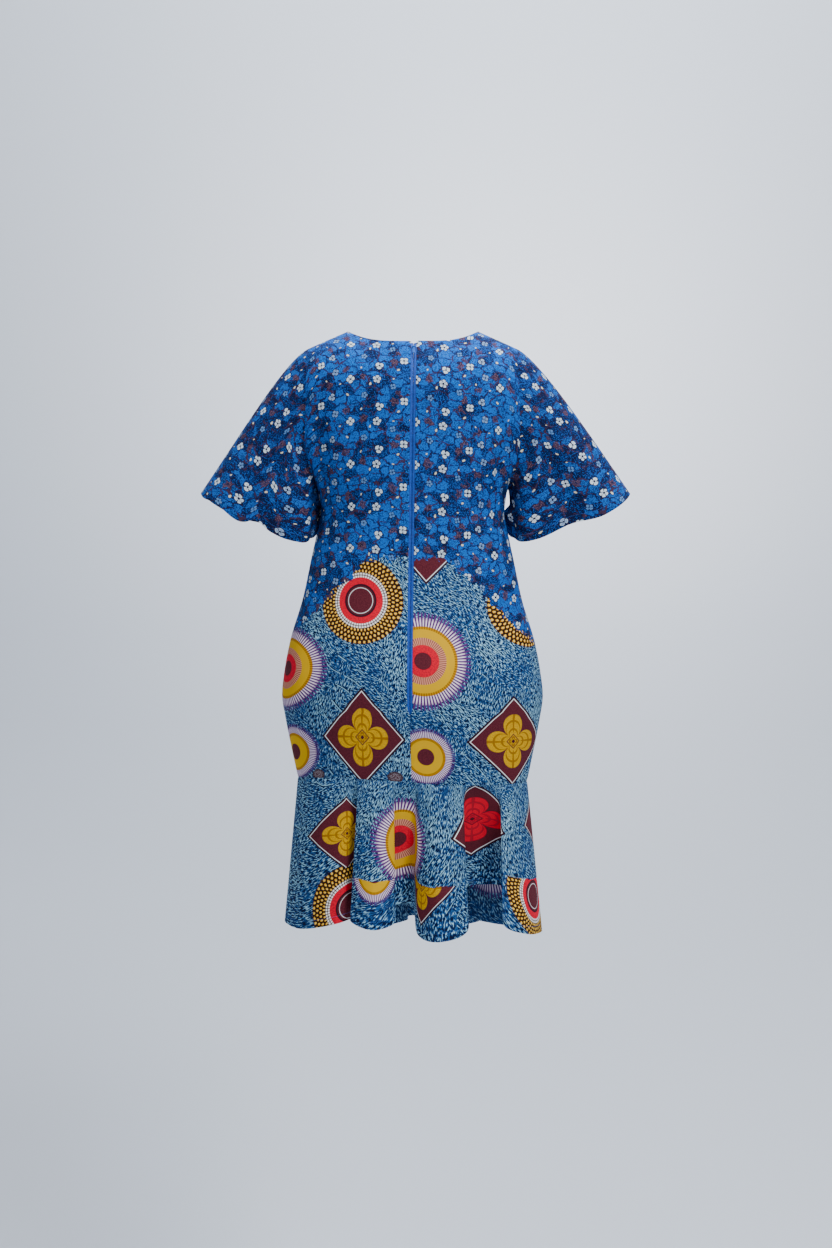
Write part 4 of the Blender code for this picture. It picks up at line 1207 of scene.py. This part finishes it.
HEM_HALF_WIDTH = 212.0
HEM_DEPTH = {"back": 118.0, "front": 124.0}
FOLD_OPENING = 0.65
HemPoint = namedtuple("HemPoint", "place turn x y z")
HEM_BACK = (
    HemPoint("left side", -90, -211, 0, -972),
    HemPoint("left panel", -58, -181, -72, -977),
    HemPoint("left panel lip", -38, -120, -111, -964),
    HemPoint("pocket behind tube one, near", -32, -78, -84, -950),
    HemPoint("pocket behind tube one, far", -29.5, -74, -98, -950),
    HemPoint("tube one, left", -26.5, -100, -122, -958),
    HemPoint("tube one, front", -18, -64, -157, -970),
    HemPoint("tube one, right", -10, -27, -130, -960),
    HemPoint("valley one, left", -6.5, -40, -98, -942),
    HemPoint("valley one, right", 0.5, -2, -84, -936),
    HemPoint("tube two, left", 5.5, 9, -126, -981),
    HemPoint("tube two, front", 14.5, 46, -163, -988),
    HemPoint("tube two, right", 24.5, 90, -122, -972),
    HemPoint("valley two, left", 29, 80, -66, -916),
    HemPoint("valley two, floor", 37, 116, -40, -908),
    HemPoint("valley two, right", 46, 154, -72, -914),
    HemPoint("right panel lip", 52.5, 146, -113, -964),
    HemPoint("right panel", 64, 187, -84, -984),
)
HEM_FRONT = (
    HemPoint("right side", 90, 214, 0, -988),
    HemPoint("right panel", 120, 192, 74, -991),
    HemPoint("right panel lip", 139, 136, 112, -988),
    HemPoint("first pocket", 146, 98, 86, -978),
    HemPoint("first tube, right", 150, 112, 124, -986),
    HemPoint("first tube, front", 158, 76, 158, -996),
    HemPoint("first tube, left", 166, 40, 128, -986),
    HemPoint("middle valley, right", 171, 44, 90, -974),
    HemPoint("middle valley, left", 180, -4, 84, -972),
    HemPoint("second tube, right", 185.5, -10, 122, -984),
    HemPoint("second tube, front", 194, -48, 160, -996),
    HemPoint("second tube, left", 203, -86, 124, -986),
    HemPoint("second pocket", 208, -76, 84, -974),
    HemPoint("left panel lip", 217, -128, 108, -984),
    HemPoint("left panel", 239, -186, 76, -982),
)
FLOUNCE_COLUMNS = 420
FLOUNCE_ROWS = 64
FLOUNCE_DROP = 234.0
# Places on the flounce: u is how far along the hem from the left side, v up from the hem
FLOUNCE_MOTIFS = {
    "back": (
        Motif("gold diamond", 172, 143, 66, 62),
        Motif("sunburst", 418, 124, 76, 76),
        Motif("small sun", 316, 86, 46, 46, -0.25),
        Motif("beads", 178, 23, 70, 70),
        Motif("red diamond", 738, 151, 100, 86),
        Motif("gold diamond", 520, 80, 66, 62, 0.02),
        Motif("beads", 975, 58, 74, 66, 0.42),
        Motif("plain diamond", 1050, 168, 60, 60),
    ),
    "front": (
        Motif("sunburst", 150, 120, 76, 76),
        Motif("gold diamond", 320, 110, 66, 66),
        Motif("beads", 440, 120, 70, 70),
        Motif("sunburst", 600, 96, 60, 60),
        Motif("gold diamond", 730, 120, 66, 66),
    ),
}
FLOUNCE_CREASES = {
    "back": (
        Crease(60, 190, 48, 30, 12, 1.2),
        Crease(120, 210, 118, 60, 10, -1.2),
        Crease(300, 220, 300, 120, 9, 1.2),
        Crease(470, 215, 460, 90, 10, 1.4),
        Crease(585, 225, 590, 120, 10, -1.2),
        Crease(940, 200, 950, 40, 12, 1.5),
    ),
    "front": (
        Crease(60, 190, 48, 30, 12, 1.4),
        Crease(260, 200, 250, 60, 12, 1.2),
        Crease(560, 200, 570, 60, 12, 1.2),
        Crease(800, 200, 790, 40, 12, 1.3),
    ),
}


def hem_ring():
    """Places round the hem, 0 to 1 over the back and 1 to 2 over the front, and their points."""
    points = np.array([[row.turn, row.x, row.y, row.z] for row in HEM_BACK + HEM_FRONT], float)
    steps = np.linalg.norm((np.roll(points, -1, 0) - points)[:, 1:3], axis=1)
    places = []
    for start, stop, base in ((0, len(HEM_BACK), 0.0), (len(HEM_BACK), len(points), 1.0)):
        runs = np.concatenate([[0.0], np.cumsum(steps[start:stop])])
        places.extend(base + runs[:-1] / runs[-1])
    return np.array(places), points


def hem_places(around):
    """Turn and point of the hem at each place, on a smooth closed curve through the ring."""
    places, points = hem_ring()
    turn = np.array([360.0, 0.0, 0.0, 0.0])
    stops = np.concatenate([places - 2, places, places + 2, [places[0] + 4]])
    values = np.concatenate([points - turn, points, points + turn, points[:1] + 2 * turn])
    slopes = np.zeros_like(values)
    slopes[1:-1] = (values[2:] - values[:-2]) / (stops[2:] - stops[:-2])[:, None]
    row = np.searchsorted(stops, around, side="right") - 1
    span = (stops[row + 1] - stops[row])[:, None]
    return eased_between(values, slopes, row, span, (around - stops[row])[:, None] / span)


for face, start in (("back", 0.0), ("front", 1.0)):
    around = np.linspace(start, start + 1, FLOUNCE_COLUMNS + 1)
    turn, hem_x, hem_y, hem_z = hem_places(around).T
    share = np.clip(turn / 90 if face == "back" else (180 - turn) / 90, -1.0, 1.0)
    share = np.where(share == 0, ON_CENTRE, share)
    top = body_surface(face, share, np.ones_like(share))
    angle = np.radians(90 * share)
    depth = HEM_DEPTH[face] * np.maximum(np.cos(angle), 0.0) ** SKIRT_FULLNESS
    plain_x = HEM_HALF_WIDTH * np.sin(angle)
    plain_y = -depth if face == "back" else depth
    along = np.linspace(0, 1, FLOUNCE_ROWS + 1)[:, None]
    opened = along ** FOLD_OPENING
    plain = np.stack([
        top[:, 0] + (plain_x - top[:, 0]) * along + (hem_x - plain_x) * opened,
        top[:, 1] + (plain_y - top[:, 1]) * along + (hem_y - plain_y) * opened,
        top[:, 2] + (hem_z - top[:, 2]) * along,
    ], axis=-1)
    outward = np.cross(np.gradient(plain, axis=0), np.gradient(plain, axis=1))
    outward[0] = outward[1]
    normal = unit(outward)
    hem_run = arcs(plain[-1:], 1)[0]
    widths = arcs(plain, 1)[:, -1] / hem_run[-1]
    u = np.repeat(hem_run[None, :], FLOUNCE_ROWS + 1, 0)
    run = arcs(plain, 0)
    v = (1 - run / run[-1:]) * FLOUNCE_DROP
    spread = np.repeat(widths[:, None], FLOUNCE_COLUMNS + 1, 1)
    fan = hem_run[-1] * (1 - widths[0]) / FLOUNCE_DROP
    radius = hem_run[-1] / fan - FLOUNCE_DROP + v
    bearing = (u / hem_run[-1] - 0.5) * fan
    flat = (radius * np.sin(bearing), -radius * np.cos(bearing))
    dip = crease_depth(u, v, FLOUNCE_CREASES[face]) + edge_roll(FLOUNCE_DROP - v)
    outer = plain - normal * dip[..., None]
    thick = hem_thickness(v)
    sewn_lines.append(sewn_line(outer, normal, v, HEM_SEWN))
    flounce = shell(
        "flounce_" + face + "_cloth", outer, -normal * thick[..., None], u, v, denim_print,
        flat=flat, motifs=FLOUNCE_MOTIFS[face], spread=spread,
    )
    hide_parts("flounce_" + face)
    cloth_area(plain)


# Zip: a 600 mm zip in the centre back. Blue woven tapes show as a narrow band between the turned
# edges of the cloth and roll in where they meet; the coil is behind them. The painted slider is
# closed at the top, with its pull hanging from it.

TAPE_DEPTH = 1.8
TAPE_WALL = 0.7
TAPE_WIDTH = 11.0
TAPE_ROLL = 1.5
TAPE_ROLL_WIDTH = 1.1
TAPE_EDGE = 0.12
TAPE_WAVE = 0.3
TAPE_COLUMNS = 16
TAPE_COLUMN_EASE = 1.6
TAPE_ROWS = 260
TAPE_START = 0.5
RIBS_ACROSS = 5200
RIBS_DOWN = 7000
ZIP_STEPS = 2001
COIL_START = 14.0
COIL_ROWS = 300
COIL_SIDES = 14
WIRE_SIDES = 6
COIL_DEPTH = 3.5
COIL_SPACING = 1.6
COIL_WIRE = 0.33
COIL_HALF_WIDTH = 1.9
COIL_HALF_HEIGHT = 0.8

tape_sheet = Sheet("woven_zip_tape", roughness=0.62, specular_ior_level=0.25)
place = tape_sheet.node("ShaderNodeUVMap", {"uv_map": "cloth"})
x, y, _ = tape_sheet.parts(place)
ribs = (x * RIBS_ACROSS).math("SINE") * 0.5 + (y * RIBS_DOWN).math("SINE") * 0.5
mottle = tape_sheet.noise(place, 300.0, 2.0)
tape_blue = tape_sheet.mix(mottle.above(0.5, 0.4), tone("0b50b4"), tone("123c92"))
tape_finish = tape_sheet.finish(tape_blue, bump=ribs, distance=0.0001)

zip_downs = np.linspace(0, 1, ZIP_STEPS)
zip_levels = -body_surface("back", 0 * zip_downs + ON_CENTRE, zip_downs)[:, 2]


def behind_back(offset, level, depth):
    """Points behind the back panels: this far from the centre line, at these levels, this deep."""
    down = np.interp(level, zip_levels, zip_downs)
    across = share_beside_zip(down, ON_CENTRE)[0] * offset
    across = np.where(np.abs(across) < ON_CENTRE, ON_CENTRE, across)
    normal = body_normal("back", across, down)
    return body_surface("back", across, down) - normal * np.asarray(depth)[..., None], normal


for hand, side in (("left", -1), ("right", 1)):
    levels = np.linspace(ZIP_TOP_LEVEL + TAPE_START, ZIP_END_LEVEL + ZIP_TAPER, TAPE_ROWS + 1)[:, None]
    share = np.linspace(0, 1, TAPE_COLUMNS + 1)[None, :] ** TAPE_COLUMN_EASE
    offset = np.repeat(TAPE_EDGE + (TAPE_WIDTH - TAPE_EDGE) * share, TAPE_ROWS + 1, 0)
    level = np.repeat(levels, TAPE_COLUMNS + 1, 1)
    roll = TAPE_ROLL * np.exp(-(offset / TAPE_ROLL_WIDTH) ** 2)
    wave = TAPE_WAVE * np.sin(2 * math.pi * (level + ZIP_PUCKER_START * side) / ZIP_PUCKER_LENGTH)
    outer, normal = behind_back(side * offset, level, TAPE_DEPTH + roll + wave)
    tape = shell(
        "zip_tape_" + hand + "_cloth", outer, -normal * TAPE_WALL, offset, level, tape_finish,
    )
    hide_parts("zip_tape_" + hand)
    cloth_area(outer)


def tube(path, radius, sides, closed=False):
    """Wire along a path of points, in millimetres, as vertices and faces in metres."""
    path = np.asarray(path, float)
    if closed:
        along = np.roll(path, -1, 0) - np.roll(path, 1, 0)
    else:
        along = np.gradient(path, axis=0)
    along = unit(along)
    aside = unit(np.cross(along, np.array([0.31, 0.95, 0.07])))
    up = np.cross(along, aside)
    turns = 2 * math.pi * np.arange(sides) / sides
    ring = np.cos(turns)[None, :, None] * aside[:, None] + np.sin(turns)[None, :, None] * up[:, None]
    points = (path[:, None] + radius * ring).reshape(-1, 3) * MM
    faces = []
    last = len(path) if closed else len(path) - 1
    for k in range(last):
        n = (k + 1) % len(path)
        for j in range(sides):
            m = (j + 1) % sides
            faces.append((k * sides + j, n * sides + j, n * sides + m, k * sides + m))
    if not closed:
        faces.append(tuple(range(sides)))
        faces.append(tuple(range(len(points) - 1, len(points) - 1 - sides, -1)))
    return points, faces


def copies_group():
    """Nodes that set copies of an object along lines, their own Z turned to the outward side."""
    group = bpy.data.node_groups.new("copies_along_lines", "GeometryNodeTree")
    sockets = {"Lines": "Geometry", "Spacing": "Float", "Copy": "Object", "Finish": "Material"}
    for name, kind in sockets.items():
        group.interface.new_socket(name, in_out="INPUT", socket_type="NodeSocket" + kind)
    group.interface.new_socket("Copies", in_out="OUTPUT", socket_type="NodeSocketGeometry")

    def add(kind, **settings):
        made = group.nodes.new(kind)
        for key, value in settings.items():
            setattr(made, key, value)
        return made

    inputs = add("NodeGroupInput")
    output = add("NodeGroupOutput")
    curve = add("GeometryNodeMeshToCurve")
    spaced = add("GeometryNodeResampleCurve", mode="LENGTH")
    tangent = add("GeometryNodeInputTangent")
    outward = add("GeometryNodeInputNamedAttribute", data_type="FLOAT_VECTOR")
    outward.inputs["Name"].default_value = "outward"
    along = add("FunctionNodeAlignRotationToVector", axis="X")
    facing = add("FunctionNodeAlignRotationToVector", axis="Z", pivot_axis="X")
    copy = add("GeometryNodeObjectInfo")
    placed = add("GeometryNodeInstanceOnPoints")
    real = add("GeometryNodeRealizeInstances")
    finish = add("GeometryNodeSetMaterial")
    for source, out, target, into in (
        (inputs, "Lines", curve, "Mesh"),
        (curve, "Curve", spaced, "Curve"),
        (inputs, "Spacing", spaced, "Length"),
        (tangent, "Tangent", along, "Vector"),
        (along, "Rotation", facing, "Rotation"),
        (outward, "Attribute", facing, "Vector"),
        (inputs, "Copy", copy, "Object"),
        (spaced, "Curve", placed, "Points"),
        (copy, "Geometry", placed, "Instance"),
        (facing, "Rotation", placed, "Rotation"),
        (placed, "Instances", real, "Geometry"),
        (real, "Geometry", finish, "Geometry"),
        (inputs, "Finish", finish, "Material"),
        (finish, "Geometry", output, "Copies"),
    ):
        group.links.new(source.outputs[out], target.inputs[into])
    return group


COPIES = copies_group()


def copies_along(name, lines, wire, spacing, finish):
    """One plain mesh of wire pieces set along lines; each line has points and outward directions."""
    points, faces = wire
    element_data = bpy.data.meshes.new(name + "_one")
    element_data.from_pydata(points.tolist(), [], faces)
    element_data.shade_smooth()
    element = add_object(name + "_one", element_data)
    verts, edges, sides = [], [], []
    for places, outward in lines:
        first = len(verts)
        verts.extend((places * MM).tolist())
        sides.extend(outward.tolist())
        edges.extend((first + k, first + k + 1) for k in range(len(places) - 1))
    line_data = bpy.data.meshes.new(name + "_lines")
    line_data.from_pydata(verts, edges, [])
    outward = line_data.attributes.new("outward", "FLOAT_VECTOR", "POINT")
    outward.data.foreach_set("vector", np.array(sides, float).ravel())
    carrier = add_object(name + "_lines", line_data)
    modifier = carrier.modifiers.new("copies", "NODES")
    modifier.node_group = COPIES
    values = {"Spacing": spacing * MM, "Copy": element, "Finish": finish}
    for item in COPIES.interface.items_tree:
        if item.name in values:
            modifier[item.identifier] = values[item.name]
    data = bpy.data.meshes.new_from_object(carrier.evaluated_get(bpy.context.evaluated_depsgraph_get()))
    for temporary in (carrier, element):
        bpy.data.objects.remove(temporary, do_unlink=True)
    data.name = name
    piece = add_object(name, data)
    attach(piece, "dress")
    return piece


coil_sheet = Sheet("zip_coil", roughness=0.4, specular_ior_level=0.4)
coil_finish = coil_sheet.finish(tone("183884"))
levels = np.linspace(ZIP_TOP_LEVEL + COIL_START, ZIP_END_LEVEL, COIL_ROWS)
coil_line = behind_back(np.zeros_like(levels), levels, np.full_like(levels, COIL_DEPTH))
turns = np.linspace(0, 2 * math.pi, COIL_SIDES, endpoint=False)
loop = np.stack([
    0.5 * COIL_SPACING * np.sin(turns), COIL_HALF_WIDTH * np.cos(turns), COIL_HALF_HEIGHT * np.sin(turns),
], axis=-1)
wire = tube(loop, COIL_WIRE, WIRE_SIDES, closed=True)
copies_along("zip_coil", [coil_line], wire, COIL_SPACING, coil_finish)

metal = Sheet("painted_slider", roughness=0.55, specular_ior_level=0.15)
place = metal.node("ShaderNodeTexCoord", outputs=(3,))
wear = metal.noise(place, 900.0, 2.0)
painted = metal.mix(wear.above(0.66, 0.05) * 0.5, tone("0c52ac"), tone("2c74c4"))
paint_finish = metal.finish(painted, bump=wear, distance=0.00003)
for name in ("zip_slider", "zip_pull"):
    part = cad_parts[name]
    part.data.materials.clear()
    part.data.materials.append(paint_finish)


# Hem stitching: one row of matching blue thread round each cuff and round the flounce.

STITCH_SPACING = 3.4
STITCH_LENGTH = 2.7
STITCH_RADIUS = 0.24
STITCH_PROUD = 0.1
STITCH_SUNK = 0.5

thread_sheet = Sheet("blue_thread", roughness=0.6, specular_ior_level=0.3)
thread_finish = thread_sheet.finish(tone("2c5cb0"))
half = STITCH_LENGTH / 2
stitch = np.array([
    (x, 0.0, STITCH_PROUD - STITCH_SUNK * abs(x / half) ** 3) for x in np.linspace(-half, half, 6)
])
thread = tube(stitch, STITCH_RADIUS, WIRE_SIDES)
copies_along("hem_stitches", sewn_lines, thread, STITCH_SPACING, thread_finish)


# The place: a pale floor and backdrop in soft studio light, seen square from the back. Light is also
# painted into the backdrop's colour: a bright pool up and to the right, and a paler grey low down.

FLOOR_LEVEL = -1.9
FLOOR_REACH = 6.0
BEND_START = 0.6
BEND_RADIUS = 1.4
WALL_TOP = 5.0
PAINTED_LIGHT_X = 0.22
PAINTED_LIGHT_Z = -0.05
PAINTED_LIGHT_HALF_WIDTH = 0.85
PAINTED_LIGHT_HALF_HEIGHT = 0.75
SKY_STRENGTH = 0.40
backdrop_rows = [(y, FLOOR_LEVEL) for y in (-FLOOR_REACH, BEND_START)]
for degrees in range(10, 91, 10):
    bend = math.radians(degrees)
    risen = BEND_RADIUS * (1 - math.cos(bend))
    backdrop_rows.append((BEND_START + BEND_RADIUS * math.sin(bend), FLOOR_LEVEL + risen))
backdrop_rows.append((BEND_START + BEND_RADIUS, WALL_TOP))
verts = [(x, y, z) for y, z in backdrop_rows for x in (-FLOOR_REACH, FLOOR_REACH)]
faces = [(2 * k, 2 * k + 1, 2 * k + 3, 2 * k + 2) for k in range(len(backdrop_rows) - 1)]
backdrop_mesh = bpy.data.meshes.new("backdrop")
backdrop_mesh.from_pydata(verts, [], faces)
backdrop_mesh.shade_smooth()
wall_sheet = Sheet("pale_backdrop", roughness=0.9)
place = wall_sheet.node("ShaderNodeTexCoord", outputs=(3,))
x, _, z = wall_sheet.parts(place)
# Painted light: a bright pool on the backdrop, up and to the right, fading out each way
across = (x - PAINTED_LIGHT_X) / PAINTED_LIGHT_HALF_WIDTH
up = (z - PAINTED_LIGHT_Z) / PAINTED_LIGHT_HALF_HEIGHT
far_off = (across ** 2 + up ** 2) * -1.0
painted_light_pool = far_off.math("EXPONENT")
# Painted light: the backdrop's grey grows paler low down and on the floor
low = (z * -0.8).math("SUBTRACT", 0.55, clamp=True)
grey = wall_sheet.mix(low, tone("b4bdca"), tone("ccd4e0"))
wall_finish = wall_sheet.finish(wall_sheet.mix(painted_light_pool, grey, tone("f0f5ff")))
behind = wall_sheet.node("ShaderNodeNewGeometry", outputs=(6,))
clear = wall_sheet.node("ShaderNodeBsdfTransparent")
seen = wall_sheet.node("ShaderNodeMixShader", i0=behind, i1=wall_sheet.shader.outputs[0], i2=clear)
wall_sheet.put(wall_sheet.tree.nodes["Material Output"].inputs[0], seen)
backdrop_mesh.materials.append(wall_finish)
add_object("backdrop", backdrop_mesh)

Lamp = namedtuple("Lamp", "name place aim size power")
LAMPS = (
    Lamp("key", (1.7, -2.6, 2.2), (0.0, 0.0, -0.4), 1.0, 158),
    Lamp("fill", (-2.6, -3.2, 0.3), (0.0, 0.0, -0.5), 2.4, 24),
    Lamp("top", (0.0, -0.4, 2.3), (0.0, 0.0, -0.4), 1.2, 26),
    Lamp("backdrop_light", (0.3, 0.5, 1.9), (0.25, 2.0, -0.8), 2.0, 105),
)
for lamp in LAMPS:
    light = bpy.data.lights.new(lamp.name, "AREA")
    light.energy = lamp.power
    light.size = lamp.size
    made = add_object(lamp.name, light)
    made.location = lamp.place
    aim = np.array(lamp.aim) - np.array(lamp.place)
    yaw = math.atan2(aim[1], aim[0]) - math.pi / 2
    pitch = math.atan2(aim[2], math.hypot(aim[0], aim[1])) + math.pi / 2
    made.rotation_euler = (pitch, 0.0, yaw)

world = bpy.data.worlds.new("studio")
world.use_nodes = True
sky = world.node_tree.nodes["Background"]
sky.inputs["Color"].default_value = tone("e8ecf2")
sky.inputs["Strength"].default_value = SKY_STRENGTH
bpy.context.scene.world = world

CAMERA_DISTANCE = 4.5
PHOTO_HEIGHT = 1248
METRES_PER_PIXEL = 0.00165
VIEW_MIDDLE_X = 0.0058
VIEW_MIDDLE_Z = -0.482
SENSOR_HEIGHT = 36.0
camera_data = bpy.data.cameras.new("camera")
camera_data.sensor_fit = "VERTICAL"
camera_data.sensor_height = SENSOR_HEIGHT
camera_data.lens = SENSOR_HEIGHT * CAMERA_DISTANCE / (PHOTO_HEIGHT * METRES_PER_PIXEL)
camera = add_object("camera", camera_data)
camera.location = (VIEW_MIDDLE_X, -CAMERA_DISTANCE, VIEW_MIDDLE_Z)
camera.rotation_euler = (math.radians(90), 0.0, 0.0)
bpy.context.scene.camera = camera
